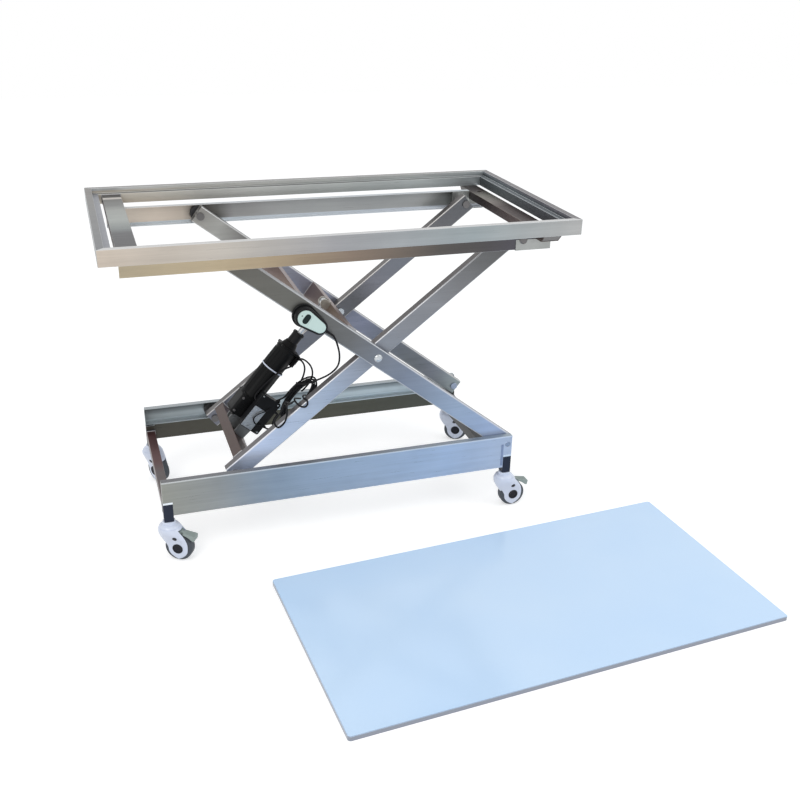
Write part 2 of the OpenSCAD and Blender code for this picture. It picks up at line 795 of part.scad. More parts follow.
rod_x0 = 270;
module actuator_rod() {
    color(BRIGHT) on_actuator() difference() {
        union() {
            bar_x(rod_d, rod_x0, act_l);
            translate([act_l, 0, 0]) bar_y(2 * eye_r, -eye_w / 2, eye_w / 2);
        }
        translate([act_l, 0, 0]) bar_y(act_bore_d, -eye_w, eye_w);
    }
}

// Control box with a bare plate, in front of the actuator's lower end
box_x0 = 8;
box_l = 110;
box_z0 = -67;
box_w = 62;
box_t = 25;
box_r = 5;
ctrl_plate_l = 68;
ctrl_plate_w = 36;
ctrl_plate_t = 1;
module control_box() {
    color(BLACK) on_actuator()
        translate([box_x0 + box_l / 2, box_back_y - box_t / 2, box_z0 + box_w / 2])
            rotate([90, 0, 0]) linear_extrude(height = box_t, center = true)
                round_square([box_l, box_w], box_r);
}
module control_plate() {
    inset = 2;
    color(BRIGHT) on_actuator()
        translate([box_x0 + inset, box_back_y - box_t - ctrl_plate_t,
                   box_z0 + box_w - inset - ctrl_plate_w])
            cube([ctrl_plate_l, ctrl_plate_t, ctrl_plate_w]);
}

// Cable ties round the motor casting
tie_w = 3.5;
tie_t = 1.2;
TIE_PLACES = [178];
screw_lobe_d = motor_d * screw_lobe_share;
tie_h = motor_d / 2 + lobe_z + screw_lobe_d / 2;
tie_z = motor_d / 2 - tie_h / 2;
// Round the two lobes, as one drawn belt
module tie_outline(grow) {
    round_square([motor_d + 2 * grow, tie_h + 2 * grow], motor_d / 2 - tie_corner);
}
tie_corner = 3;
module cable_ties() {
    color(BRIGHT) on_actuator() for (x = TIE_PLACES) translate([x, 0, tie_z])
        rotate([90, 0, 90]) linear_extrude(height = tie_w) difference() {
            tie_outline(slack + tie_t);
            tie_outline(slack);
        }
}

// Handset, hung in a holster on the front outer arm

handset_x = 249;
handset_z = -12;
holster_t = 8;
holster_rim = 4;
face_t = 3;
face_inset = 6;
arm_face_y = arm_a_y + arm_w / 2;
key_l = 24;
key_w = 12;
key_x = 3;
key_rise = 1;
key_room = 0.6;
handset_span = handset_l - handset_r - handset_tip_r;

// Something y0 to y1 in front of the arm's face, drawn from the handset's big end
module on_handset(y0, y1) {
    on_arm_a() translate([handset_x, 0, handset_z])
        slab(-arm_face_y - (y0 + y1) / 2, y1 - y0) children();
}
module key_outline(grow) {
    translate([key_x, 0]) for (z = [-1, 1]) translate([0, z * (key_l - key_w) / 2])
        circle(d = key_w + 2 * grow, $fn = round_fn);
    translate([key_x - key_w / 2 - grow, -(key_l - key_w) / 2])
        square([key_w + 2 * grow, key_l - key_w]);
}
module handset_holster() {
    color(BLACK) difference() {
        on_handset(0, holster_t)
            teardrop(handset_r + holster_rim, handset_tip_r, handset_span);
        on_handset(holster_t / 2, holster_t + cut)
            teardrop(handset_r - holster_rim, handset_tip_r - holster_rim, handset_span);
    }
}
module handset_back() {
    color(BLACK) difference() {
        on_handset(holster_t, holster_t + handset_t)
            teardrop(handset_r, handset_tip_r, handset_span);
        on_handset(holster_t + handset_t - face_t, holster_t + handset_t + cut)
            key_outline(key_room);
        on_relief() cylinder(d = relief_d + 2 * slack, h = relief_l, $fn = round_fn);
    }
}
module handset_face() {
    color(AQUA) difference() {
        on_handset(holster_t + handset_t, holster_t + handset_t + face_t)
            teardrop(handset_r - face_inset, handset_tip_r - face_inset, handset_span);
        on_handset(holster_t, holster_t + handset_t + face_t + cut) key_outline(key_room);
    }
}
module handset_key() {
    front = holster_t + handset_t + face_t + key_rise;
    color(BLACK) on_handset(holster_t + handset_t - face_t / 2, front) key_outline(0);
}

relief_l = 16;
relief_d = 9;
relief_y = -arm_face_y - holster_t - handset_t / 2;
relief_x = handset_x + handset_span + handset_tip_r;
module on_relief() {
    on_arm_a() translate([relief_x - slack, relief_y, handset_z]) rotate([0, 90, 0])
        translate([0, 0, -relief_seat]) children();
}
relief_seat = 4;
module lead_relief() {
    color(BLACK) on_relief() translate([0, 0, slack])
        cylinder(d1 = relief_d, d2 = lead_d + slack, h = relief_l + relief_seat, $fn = round_fn);
}

// Cords

// A tube swept along points; its rings stand square to the route
function unit(v) = v / norm(v);
function way(p, i) = unit(p[min(i + 1, len(p) - 1)] - p[max(i - 1, 0)]);
function ring(c, t, r, n) =
    let (s = unit(cross(t, [0, 1, 0])), u = cross(s, t))
    [for (k = [0 : n - 1]) c + r * (cos(360 * k / n) * s + sin(360 * k / n) * u)];
module tube(p, d, n) {
    m = len(p);
    points = [for (i = [0 : m - 1]) each ring(p[i], way(p, i), d / 2, n)];
    sides = [for (i = [0 : m - 2], k = [0 : n - 1], half = [0, 1])
        let (a = i * n + k, b = i * n + (k + 1) % n)
        half == 0 ? [a, b, b + n] : [a, b + n, a + n]];
    first = [for (k = [1 : n - 2]) [0, k + 1, k]];
    last = [for (k = [1 : n - 2]) [(m - 1) * n, (m - 1) * n + k, (m - 1) * n + k + 1]];
    polyhedron(points = points, faces = concat(sides, first, last));
}

// A smooth run through hand-picked points
function blend4(a, b, c, d, t) =
    0.5 * ((2 * b) + (c - a) * t + (2 * a - 5 * b + 4 * c - d) * pow(t, 2)
           + (3 * b - a - 3 * c + d) * pow(t, 3));
function smooth(p, n) = [
    for (i = [0 : len(p) - 2], k = [0 : n - 1])
        blend4(p[max(i - 1, 0)], p[i], p[i + 1], p[min(i + 2, len(p) - 1)], k / n),
    p[len(p) - 1]];

// Where the lead leaves its relief, in the table's frame
relief_a = relief_x + relief_l;
lead_exit = [roller_x + relief_a * cos(lift_angle) + handset_z * sin(lift_angle), relief_y,
             high_z - relief_a * sin(lift_angle) + handset_z * cos(lift_angle)];
lead_way = [cos(lift_angle), 0, -sin(lift_angle)];
LEAD_POINTS = [[-32, -235, 565], [-24, -228, 530], [-24, -210, 493], [-38, -178, 458],
               [-62, -140, 428], [-86, -108, 406], [-106, -81, 394]];

// The hank: loops that spiral in and out again in two layers, beside the actuator
hank_turns = 6;
hank_steps = 24;
hank_a = 74;
hank_b = 34;
hank_step = 6.7;
hank_mid = [164, -70.2, -92];
hank_climb = 9.8;
function hank_in(f) = f < hank_turns / 2 ? f : hank_turns - f;
function hank_layer(f) = min(1, max(0, f - hank_turns / 2 + 0.5));
function hank_point(f) =
    let (w = 360 * f + 90, g = hank_step * min(hank_in(f), hank_turns / 2 - 0.5))
    [hank_mid[0] + (hank_a - g) * cos(w),
     hank_mid[1] + hank_climb * (hank_layer(f) - 0.5),
     hank_mid[2] + (hank_b - g) * sin(w)];
function from_actuator(v) =
    [low_pin[0] + v[0] * cos(act_angle) - v[2] * sin(act_angle), v[1],
     low_pin[1] + v[0] * sin(act_angle) + v[2] * cos(act_angle)];
hank_out = hank_point(hank_turns);
plug_y = box_back_y - box_t / 2;
tail_y = -64;
tail_back = 12;
tail_bend = [24, 14, 8, 4];
tail_dip = 6;
box_end = box_x0 + box_l;
TAIL = [hank_out, hank_out - [tail_back, 0, 0], [box_end + tail_bend[0], tail_y, hank_out[2]],
        [box_end + tail_bend[1], plug_y - tail_dip, hank_out[2]],
        [box_end + tail_bend[2], plug_y, hank_out[2]], [box_end + tail_bend[3], plug_y, hank_out[2]]];
hank_run = concat([for (i = [0 : hank_turns * hank_steps - 1]) hank_point(i / hank_steps)],
                  smooth(TAIL, 4), [[box_end, plug_y, hank_out[2]]]);
HANK = [for (v = hank_run) from_actuator(v)];
hank_start_way = unit(HANK[1] - HANK[0]);
hank_end_way = unit(HANK[len(HANK) - 1] - HANK[len(HANK) - 2]);

lead_path = concat([lead_exit], smooth(concat([lead_exit + 2 * lead_d * lead_way], LEAD_POINTS,
    [HANK[0] - 2 * lead_d * hank_start_way]), 4), [HANK[0]]);
module handset_lead() {
    color(BLACK) placed() tube(lead_path, lead_d, 8);
}
module lead_hank() {
    color(BLACK) placed() tube(HANK, lead_d, 6);
}

// Least gap of the hank to itself, and the lengths of both cords
hank_gap = min([for (i = [0 : 2 : len(HANK) - 1], j = [i + 12 : len(HANK) - 1])
    norm(HANK[i] - HANK[j])]) - lead_d;
function run_length(p, i = 1) = i >= len(p) ? 0 : norm(p[i] - p[i - 1]) + run_length(p, i + 1);
echo(hank_gap = hank_gap, lead_length = run_length(lead_path), hank_length = run_length(HANK));

// The lift-off panel

panel_edge = 1;
module tabletop_panel() {
    color(PALE_BLUE) placed() translate([panel_x, panel_y, 0]) rotate(panel_turn) {
        linear_extrude(height = panel_t - panel_edge) round_square([panel_l, panel_w], panel_r);
        linear_extrude(height = panel_t)
            round_square([panel_l - 2 * panel_edge, panel_w - 2 * panel_edge], panel_r - panel_edge);
    }
}

frame_front();
frame_back();
frame_left();
frame_right();
top_rail_front();
top_rail_back();
top_cross_left();
top_cross_right();
pivot_brackets();
upper_pivot_bolts();
base_rail_front();
base_rail_back();
base_cross_left();
base_cross_right();
stem_plugs();
lower_pivot_bolts();
arm_a_front();
arm_a_back();
arm_a_tie();
actuator_beam();
rod_clevis();
centre_pins();
upper_roller_axles();
arm_b_front();
arm_b_back();
arm_b_tie();
motor_bracket();
lower_roller_axles();
roller_a_front();
roller_a_back();
roller_b_front();
roller_b_back();
gear_housing();
motor_can();
guide_tube();
actuator_rod();
control_box();
control_plate();
cable_ties();
handset_holster();
handset_back();
handset_face();
handset_key();
lead_relief();
handset_lead();
lead_hank();
caster_hood_fl();
caster_hood_fr();
caster_hood_bl();
caster_hood_br();
caster_wheel_fl();
caster_wheel_fr();
caster_wheel_bl();
caster_wheel_br();
brake_pedal_fl();
brake_pedal_fr();
tabletop_panel();
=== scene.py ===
# Electric scissor-lift examination table, dressed over its CAD frame
from math import acos, asin, atan2, copysign, cos, pi, radians, sin
import bmesh
import bpy
from mathutils import Matrix, Vector


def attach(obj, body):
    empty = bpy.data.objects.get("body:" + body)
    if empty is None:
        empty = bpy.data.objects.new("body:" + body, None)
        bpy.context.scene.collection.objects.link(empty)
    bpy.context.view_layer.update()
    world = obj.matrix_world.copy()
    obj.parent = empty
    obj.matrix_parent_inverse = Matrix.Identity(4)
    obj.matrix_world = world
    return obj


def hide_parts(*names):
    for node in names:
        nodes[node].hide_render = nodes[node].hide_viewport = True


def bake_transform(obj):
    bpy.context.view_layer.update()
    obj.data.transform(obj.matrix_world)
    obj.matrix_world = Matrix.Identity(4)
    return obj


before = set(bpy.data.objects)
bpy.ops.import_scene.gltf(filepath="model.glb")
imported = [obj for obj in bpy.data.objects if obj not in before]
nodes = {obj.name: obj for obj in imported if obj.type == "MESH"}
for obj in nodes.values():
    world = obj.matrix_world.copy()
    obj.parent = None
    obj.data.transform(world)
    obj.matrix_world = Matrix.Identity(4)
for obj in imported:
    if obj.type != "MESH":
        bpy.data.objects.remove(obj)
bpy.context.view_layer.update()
scene = bpy.context.scene
scene.view_settings.view_transform = "Standard"

# Main places of the table in millimetres, as in the part's source
SET_X = 165.87963912
SET_Y = -354.68756288
PITCH = 985
HIGH_Z = 809
LOW_Z = 205
PIVOT_X = 473
BASE_LEFT = -504
BASE_RIGHT = 486
LOW_PIN_ALONG = 70
LOW_PIN_UP = 43
HIGH_PIN_ALONG = 365
HIGH_PIN_UP = 16
LIFT = asin((HIGH_Z - LOW_Z) / PITCH)
COS = cos(LIFT)
SIN = sin(LIFT)
ROLLER_X = PIVOT_X - PITCH * COS
LOW_PIN = Vector((ROLLER_X + LOW_PIN_ALONG * COS - LOW_PIN_UP * SIN, 0,
                  LOW_Z + LOW_PIN_ALONG * SIN + LOW_PIN_UP * COS))
HIGH_PIN = Vector((ROLLER_X + HIGH_PIN_ALONG * COS + HIGH_PIN_UP * SIN, 0,
                   HIGH_Z - HIGH_PIN_ALONG * SIN + HIGH_PIN_UP * COS))
ACT = atan2(HIGH_PIN.z - LOW_PIN.z, HIGH_PIN.x - LOW_PIN.x)


def row(x, y, z):
    return Vector(((x - SET_X) / 1000, (y - SET_Y) / 1000, z / 1000))


def axes(origin, x, z):
    """Millimetres in a local frame to metres in the row frame."""
    x = Vector(x).normalized()
    z = Vector(z).normalized()
    m = Matrix((x, z.cross(x), z)).transposed().to_4x4()
    m.translation = row(*origin)
    return m @ Matrix.Scale(0.001, 4)


X = (1, 0, 0)
Y = (0, 1, 0)
Z = (0, 0, 1)
ARM_A_WAY = (COS, 0, -SIN)
ARM_A_LID = (SIN, 0, COS)
ARM_B_WAY = (COS, 0, SIN)
ARM_B_LID = (-SIN, 0, COS)
TABLE = axes((0, 0, 0), X, Z)
ARM_A = axes((ROLLER_X, 0, HIGH_Z), ARM_A_WAY, ARM_A_LID)
ARM_B = axes((ROLLER_X, 0, LOW_Z), ARM_B_WAY, ARM_B_LID)
ACTUATOR = axes(LOW_PIN, (cos(ACT), 0, sin(ACT)), (-sin(ACT), 0, cos(ACT)))

# Camera, at the photograph's place: angles in radians, the rest in millimetres and pixels
YAW = 0.34649
PITCH_DOWN = 0.43665
ROLL = 0.0293
CAMERA_AT = (-640.91, -2526.44, 1491.39)
SENSOR = 36
IMAGE_PX = 800
FOCAL_PX = 981.03
SHIFT_PX = (-14.877, 8.012)
ahead = Vector((sin(YAW) * cos(PITCH_DOWN), cos(YAW) * cos(PITCH_DOWN), -sin(PITCH_DOWN)))
right = Vector((cos(YAW), -sin(YAW), 0))
up = right.cross(ahead)
right_rolled = cos(ROLL) * right + sin(ROLL) * up
up_rolled = -sin(ROLL) * right + cos(ROLL) * up
camera_data = bpy.data.cameras.new("camera")
camera = bpy.data.objects.new("camera", camera_data)
scene.collection.objects.link(camera)
pose = Matrix((right_rolled, up_rolled, -ahead)).transposed().to_4x4()
pose.translation = row(*CAMERA_AT)
camera.matrix_world = pose
camera_data.sensor_width = SENSOR
camera_data.lens = FOCAL_PX * SENSOR / IMAGE_PX
camera_data.shift_x = SHIFT_PX[0] / IMAGE_PX
camera_data.shift_y = SHIFT_PX[1] / IMAGE_PX
scene.camera = camera


# Materials

# Where a noise's values mostly lie, and what makes a direction run across the table
NOISE_SPAN = (0.25, 0.75)
ACROSS = 0.7
# Brushed steel: its roughness, its two grains, and half the height that a split blends over
STEEL_ROUGH = 0.33
FINE_GRAIN = (9, 620, 620)
WIDE_GRAIN = (3, 70, 70)
SPLIT_BLEND = 0.0008


def lin(c):
    """A colour as it looks on screen, from 0 to 255, to the renderer's own values."""
    return tuple((v / 255 / 12.92) if v <= 10 else ((v / 255 + 0.055) / 1.055) ** 2.4
                 for v in c) + (1,)


def add_node(tree, kind, values=(), **props):
    """A shader node with values on its inputs, as (input, value), and its own settings."""
    node = tree.nodes.new(kind)
    for key, value in props.items():
        setattr(node, key, value)
    for key, value in values:
        node.inputs[key].default_value = value
    return node


class Paint:
    """One procedural material; methods add nodes and give back their outputs."""

    def __init__(self, name, rough, metal=0.0):
        self.mat = bpy.data.materials.new(name)
        self.mat.use_nodes = True
        self.tree = self.mat.node_tree
        self.bsdf = self.tree.nodes["Principled BSDF"]
        self.fix("Roughness", rough)
        self.fix("Metallic", metal)
        self.coords = self.add("ShaderNodeTexCoord")

    def fix(self, key, value):
        """A number or colour that is the same all over, on the shader's own socket."""
        self.bsdf.inputs[key].default_value = value

    def add(self, kind, values=(), **props):
        return add_node(self.tree, kind, values, **props)

    def link(self, a, b):
        self.tree.links.new(a, b)

    def space(self, turn, scale):
        m = self.add("ShaderNodeMapping", [("Rotation", turn), ("Scale", scale)])
        self.link(self.coords.outputs["Object"], m.inputs["Vector"])
        return m.outputs["Vector"]

    def noise(self, scale, detail, vector=None):
        n = self.add("ShaderNodeTexNoise",
                     [("Scale", scale), ("Detail", detail), ("Roughness", 0.55)])
        self.link(vector or self.coords.outputs["Object"], n.inputs["Vector"])
        return n.outputs["Fac"]

    def ramp(self, value, stops):
        r = self.add("ShaderNodeValToRGB")
        e = r.color_ramp.elements
        while len(e) < len(stops):
            e.new(0.5)
        for i, (at, c) in enumerate(stops):
            e[i].position = at
            e[i].color = lin(c)
        self.link(value, r.inputs["Fac"])
        return r.outputs["Color"]

    def remap(self, value, a, b, c, d):
        """The span from a to b carried over to the span from c to d."""
        m = self.add("ShaderNodeMapRange",
                     zip(("From Min", "From Max", "To Min", "To Max"), (a, b, c, d)))
        self.link(value, m.inputs["Value"])
        return m.outputs["Result"]

    def math(self, op, *values):
        m = self.add("ShaderNodeMath", operation=op)
        for value, socket in zip(values, m.inputs):
            self.link(value, socket)
        return m.outputs[0]

    def dot(self, coordinate, way):
        d = self.add("ShaderNodeVectorMath", [(1, way)], operation="DOT_PRODUCT")
        self.link(self.coords.outputs[coordinate], d.inputs[0])
        return d.outputs["Value"]

    def along(self, way, start, end):
        """0 at start and 1 at end, along a direction of the row frame."""
        w = Vector(way).normalized()
        return self.remap(self.dot("Object", w), Vector(start).dot(w), Vector(end).dot(w), 0, 1)

    def facing(self, way):
        """1 on a face that looks that way, -1 on one that looks the other way."""
        return self.dot("Normal", Vector(way).normalized())

    def mix(self, fac, a, b, kind="MIX"):
        m = self.add("ShaderNodeMix", data_type="RGBA", blend_type=kind, clamp_factor=True)
        for key, v in ((0, fac), (6, a), (7, b)):
            if isinstance(v, (int, float)):
                m.inputs[key].default_value = v
            elif isinstance(v, tuple):
                m.inputs[key].default_value = lin(v)
            else:
                self.link(v, m.inputs[key])
        return m.outputs[2]

    def shade(self, c, value, low, high):
        """A colour times a grey that runs from low to high with a noise's value."""
        v = self.remap(value, *NOISE_SPAN, low, high)
        grey = self.add("ShaderNodeCombineColor")
        for i in range(3):
            self.link(v, grey.inputs[i])
        return self.mix(1, c, grey.outputs["Color"], "MULTIPLY")

    def color(self, c):
        self.link(c, self.bsdf.inputs["Base Color"])

    def rough(self, value, low, high):
        self.link(self.remap(value, *NOISE_SPAN, low, high), self.bsdf.inputs["Roughness"])

    def bump(self, value, strength, distance):
        b = self.add("ShaderNodeBump", [("Strength", strength), ("Distance", distance)])
        self.link(value, b.inputs["Height"])
        self.link(b.outputs["Normal"], self.bsdf.inputs["Normal"])


# The material of each CAD node
LOOKS = {}


def steel(name, reach, stops, top=None, edge=(226, 230, 232), metal=0.6, highlight_share=0.7,
          low=None, split=0, lid=None, low_top=None, reflection_bands=None):
    """Brushed steel for a CAD node. Its tone runs over reach (direction, start, end) by the stops,
    which hold painted reflections and painted shade; the grain lies the same way, and edges take
    the edge tone as painted highlight lines (painted dark lines on the tan ties). top and lid
    (direction, tone) are painted light and shade on the faces that look up or that way; top may
    be stops too. Below the height split the low tones are used: painted shade and reflections of
    the lower faces. bands (low height, high height, stops) are painted reflections that darken it
    in level stripes."""
    p = Paint(name, STEEL_ROUGH, metal)
    way, start, end = reach
    way = Vector(way).normalized()
    flat = Vector((way.x, way.y, 0)).length
    turn = (0, atan2(way.z, flat), 0) if flat > 0.01 else (0, 0, 0)
    if abs(way.y) > ACROSS:
        turn = (0, 0, -pi / 2)
    fine = p.noise(1, 3, p.space(turn, FINE_GRAIN))
    wide = p.noise(1, 3, p.space(turn, WIDE_GRAIN))
    cloud = p.noise(7, 3)
    run = p.along(way, start, end)
    c = p.ramp(run, stops)
    # Level stripes of painted reflection, multiplied over the tone
    if reflection_bands:
        reflection_stripe = p.ramp(p.along(Z, (0, 0, reflection_bands[0]), (0, 0, reflection_bands[1])),
                        [(at, (v, v, v)) for at, v in reflection_bands[2]])
        c = p.mix(1, c, reflection_stripe, "MULTIPLY")
    # Below the split height: painted shade under ledges and flanges, and painted reflections on
    # the lower faces
    if split:
        below = p.along(Z, (0, 0, split + SPLIT_BLEND), (0, 0, split - SPLIT_BLEND))
    if low:
        c = p.mix(below, c, p.ramp(run, low))
    c = p.shade(c, fine, 0.93, 1.05)
    c = p.shade(c, wide, 0.93, 1.06)
    c = p.shade(c, cloud, 0.92, 1.07)
    # Painted light and shade on the faces that look up
    if top:
        painted_top_tone = p.ramp(run, top) if isinstance(top, list) else top
        if low_top:
            painted_top_tone = p.mix(below, painted_top_tone, low_top)
        c = p.mix(p.remap(p.facing(Z), 0.6, 0.95, 0, 0.9), c, painted_top_tone)
    # Painted light and shade on the faces that look the lid's way
    if lid:
        c = p.mix(p.remap(p.facing(lid[0]), 0.85, 0.97, 0, 0.95), c, lid[1])
    # Painted highlight lines on the bevelled edges, in the edge tone (painted dark lines on the
    # tan ties)
    side = Vector(Y if abs(way.y) < ACROSS else X)
    third = way.cross(side).normalized()
    a, b, d = (p.math("ABSOLUTE", p.facing(v)) for v in (side, third, way))
    most = p.math("MAXIMUM", p.math("MAXIMUM", a, b), d)
    c = p.mix(p.remap(most, 0.985, 0.93, 0, highlight_share), c, edge)
    p.color(c)
    p.rough(fine, STEEL_ROUGH - 0.07, STEEL_ROUGH + 0.1)
    p.bump(fine, 0.12, 0.0002)
    LOOKS[name] = p.mat


def moulded(name, tone, rough, grain, depth, spread, coat=0.0, up_speckle=None, shine=0.5):
    """Moulded or cast surface: fine grain, slight mottling, and lighter speckles where it faces
    up.
    """
    p = Paint(name, rough)
    fine = p.noise(grain, 2)
    cloud = p.noise(22, 4)
    c = p.shade(tone, cloud, 1 - spread, 1 + spread)
    if up_speckle:
        up_face = p.remap(p.facing(Z), 0.2, 1, 0, 0.5)
        c = p.mix(p.math("MULTIPLY", up_face, p.noise(60, 5)), c, up_speckle)
    p.color(c)
    p.rough(cloud, rough - 0.05, rough + 0.08)
    p.bump(fine, depth, 0.0002)
    p.fix("Specular IOR Level", shine)
    if coat:
        p.fix("Coat Weight", coat)
        p.fix("Coat Roughness", 0.08)
    return p.mat


def sheet_metal(name, tone, rough, metal=0.85, spread=0.1, grain=(300, 300, 300)):
    """Plain plated or machined metal with a fine turned or rolled grain."""
    p = Paint(name, rough, metal)
    fine = p.noise(1, 3, p.space((0, 0, 0), grain))
    cloud = p.noise(30, 4)
    c = p.shade(tone, cloud, 1 - spread, 1 + spread)
    c = p.shade(c, fine, 0.95, 1.04)
    p.color(c)
    p.rough(fine, rough - 0.06, rough + 0.1)
    p.bump(fine, 0.1, 0.0002)
    return p.mat


# Runs of the tones, as (direction, start, end)
LONG = (X, row(-600, 0, 0), row(600, 0, 0))
DEEP = (Y, row(0, -320, 0), row(0, 320, 0))
BASE = (X, row(BASE_LEFT, 0, 0), row(BASE_RIGHT, 0, 0))
ARM_A_RUN = (ARM_A_WAY, row(ROLLER_X, 0, HIGH_Z), row(PIVOT_X, 0, LOW_Z))
ARM_B_RUN = (ARM_B_WAY, row(ROLLER_X, 0, LOW_Z), row(PIVOT_X, 0, HIGH_Z))
# Heights in metres where the painted shade and reflection tones change
SEAT = 0.8685
RAIL_WEB = 0.791
BASE_FLANGE = 0.2275
BASE_WEB = 0.179
BASE_TOP = 0.231

# Each member's stops and its top, lid, low and edge tones are painted reflections and painted
# shade, read along the member
steel("frame_front", LONG, [
    (0, (192, 180, 167)), (0.25, (185, 179, 171)), (0.45, (157, 157, 160)),
    (0.75, (151, 160, 163)), (1, (173, 173, 172))],
    top=(204, 204, 204), low_top=(104, 99, 100), split=SEAT)
steel("frame_back", LONG, [
    (0, (198, 200, 202)), (0.2, (186, 186, 182)), (0.8, (178, 180, 178)), (1, (200, 206, 208))],
    low=[(0, (204, 196, 182)), (0.3, (190, 190, 186)), (0.6, (182, 186, 184)),
         (0.85, (184, 190, 190)), (1, (150, 156, 160))],
    top=(128, 126, 124), low_top=(104, 104, 102), split=SEAT)
steel("frame_left", DEEP, [
    (0, (122, 124, 125)), (0.5, (146, 147, 149)), (1, (160, 162, 162))],
    top=[(0, (114, 116, 120)), (0.6, (118, 118, 118)), (0.9, (112, 108, 104)),
         (1, (120, 118, 114))],
    low_top=(138, 141, 149), split=SEAT)
steel("frame_right", DEEP, [
    (0, (104, 100, 108)), (0.5, (112, 110, 118)), (1, (134, 140, 146))],
    low=[(0, (76, 74, 80)), (0.4, (94, 99, 105)), (0.75, (104, 113, 117)), (1, (70, 75, 77))],
    top=(100, 96, 99), low_top=(142, 149, 154), split=SEAT)
steel("top_rail_front", LONG, [
    (0, (178, 166, 142)), (0.22, (187, 171, 143)), (0.34, (174, 156, 130)),
    (0.5, (140, 124, 110)), (0.7, (88, 84, 81)), (0.8, (82, 79, 80)), (0.9, (84, 82, 91)),
    (1, (90, 88, 96))],
    top=(150, 152, 152))
steel("top_rail_back", LONG, [
    (0, (186, 178, 166)), (0.15, (198, 186, 173)), (0.21, (186, 175, 163)),
    (0.25, (120, 117, 112)), (0.29, (112, 111, 108)), (0.33, (158, 158, 158)),
    (0.5, (160, 162, 162)), (0.68, (164, 166, 166)), (0.8, (162, 164, 164)),
    (0.9, (144, 148, 146)), (1, (110, 106, 102))],
    low=[(0, (186, 192, 194)), (0.3, (196, 204, 210)), (0.8, (204, 210, 218)),
         (1, (190, 194, 200))],
    top=(230, 235, 240), split=RAIL_WEB, low_top=(230, 235, 240))
steel("arm_a_front", ARM_A_RUN, [
    (0, (104, 102, 96)), (0.2, (102, 102, 98)), (0.4, (104, 106, 108)), (0.6, (121, 130, 146)),
    (0.8, (160, 175, 196)), (1, (172, 186, 214))],
    lid=(ARM_A_LID, (128, 130, 137)), edge=(206, 208, 212))
steel("arm_a_back", ARM_A_RUN, [
    (0, (150, 148, 144)), (0.06, (170, 170, 166)), (0.14, (132, 131, 130)),
    (0.24, (150, 152, 164)), (0.36, (156, 159, 176)), (0.5, (130, 132, 144)),
    (0.6, (142, 146, 164)), (0.7, (124, 129, 138)), (0.82, (124, 128, 132)),
    (0.9, (134, 138, 147)), (1, (150, 160, 162))],
    lid=(ARM_A_LID, (150, 150, 150)), edge=(198, 198, 198))
steel("arm_b_front", ARM_B_RUN, [
    (0, (196, 206, 228)), (0.12, (202, 212, 232)), (0.26, (178, 189, 206)),
    (0.34, (162, 174, 192)), (0.42, (150, 158, 173)), (0.5, (134, 140, 150)),
    (0.6, (133, 136, 143)), (0.72, (129, 131, 136)), (0.8, (120, 121, 124)),
    (0.88, (107, 108, 109)), (1, (94, 94, 95))],
    lid=(ARM_B_LID, (98, 94, 94)), edge=(210, 211, 214))
steel("arm_b_back", ARM_B_RUN, [
    (0, (120, 122, 132)), (0.3, (128, 132, 142)), (0.46, (112, 112, 116)),
    (0.56, (102, 102, 105)), (0.64, (122, 123, 131)), (0.74, (112, 116, 124)),
    (0.86, (104, 104, 108)), (1, (100, 102, 106))],
    lid=(ARM_B_LID, (100, 97, 96)), edge=(196, 194, 192))
steel("base_rail_front", BASE, [
    (0, (196, 200, 200)), (0.5, (208, 216, 224)), (1, (214, 222, 234))],
    low=[(0, (143, 145, 139)), (0.14, (142, 147, 149)), (0.3, (146, 160, 175)),
         (0.55, (166, 182, 202)), (0.8, (176, 194, 219)), (1, (188, 198, 216))],
    top=[(0, (102, 101, 105)), (0.5, (112, 118, 128)), (0.8, (118, 128, 140)),
         (1, (146, 158, 168))],
    split=BASE_FLANGE, low_top=(150, 158, 168), edge=(224, 230, 236), highlight_share=0.9)
steel("base_rail_back", BASE, [
    (0, (172, 182, 185)), (0.3, (196, 209, 216)), (0.6, (220, 237, 245)), (1, (211, 228, 238))],
    reflection_bands=(BASE_WEB, BASE_TOP, [(0, 230), (0.1, 242), (0.17, 255), (0.24, 222), (0.45, 226),
         (0.54, 204), (0.6, 184), (0.7, 168), (0.78, 142), (0.86, 104), (0.93, 150),
         (1, 210)]),
    low=[(0, (74, 72, 66)), (0.5, (80, 80, 70)), (1, (78, 82, 78))],
    top=(164, 170, 174), split=BASE_WEB)
# Near the back end the top stops hold a pale painted highlight line, then black painted shadow in
# the slit below the frame
steel("top_cross_left", DEEP, [
    (0, (112, 84, 78)), (0.3, (84, 58, 56)), (0.6, (74, 58, 60)), (1, (96, 76, 72))],
    top=[(0, (56, 60, 64)), (0.3, (66, 70, 74)), (0.36, (118, 126, 126)), (0.5, (160, 166, 162)),
         (0.66, (152, 156, 152)), (0.74, (112, 115, 113)), (0.852, (92, 93, 90)),
         (0.862, (205, 200, 193)), (0.886, (205, 200, 193)), (0.891, (14, 14, 14)),
         (1, (14, 14, 14))],
    edge=(176, 174, 170))
steel("top_cross_right", DEEP, [
    (0, (98, 84, 82)), (0.4, (78, 62, 60)), (0.7, (66, 58, 58)), (1, (92, 90, 88))],
    top=[(0, (46, 28, 27)), (0.4, (52, 34, 32)), (0.52, (70, 54, 50)), (0.62, (126, 118, 112)),
         (0.74, (116, 114, 104)), (0.84, (48, 32, 30)), (1, (50, 34, 33))],
    edge=(140, 132, 126))
steel("base_cross_left", DEEP, [
    (0, (84, 64, 68)), (0.5, (72, 54, 56)), (1, (92, 78, 76))],
    top=[(0.1, (96, 92, 92)), (0.42, (96, 88, 88)), (0.52, (92, 62, 62)), (0.8, (90, 56, 56)),
         (0.9, (86, 74, 70)), (1, (82, 82, 78))],
    edge=(140, 132, 130))
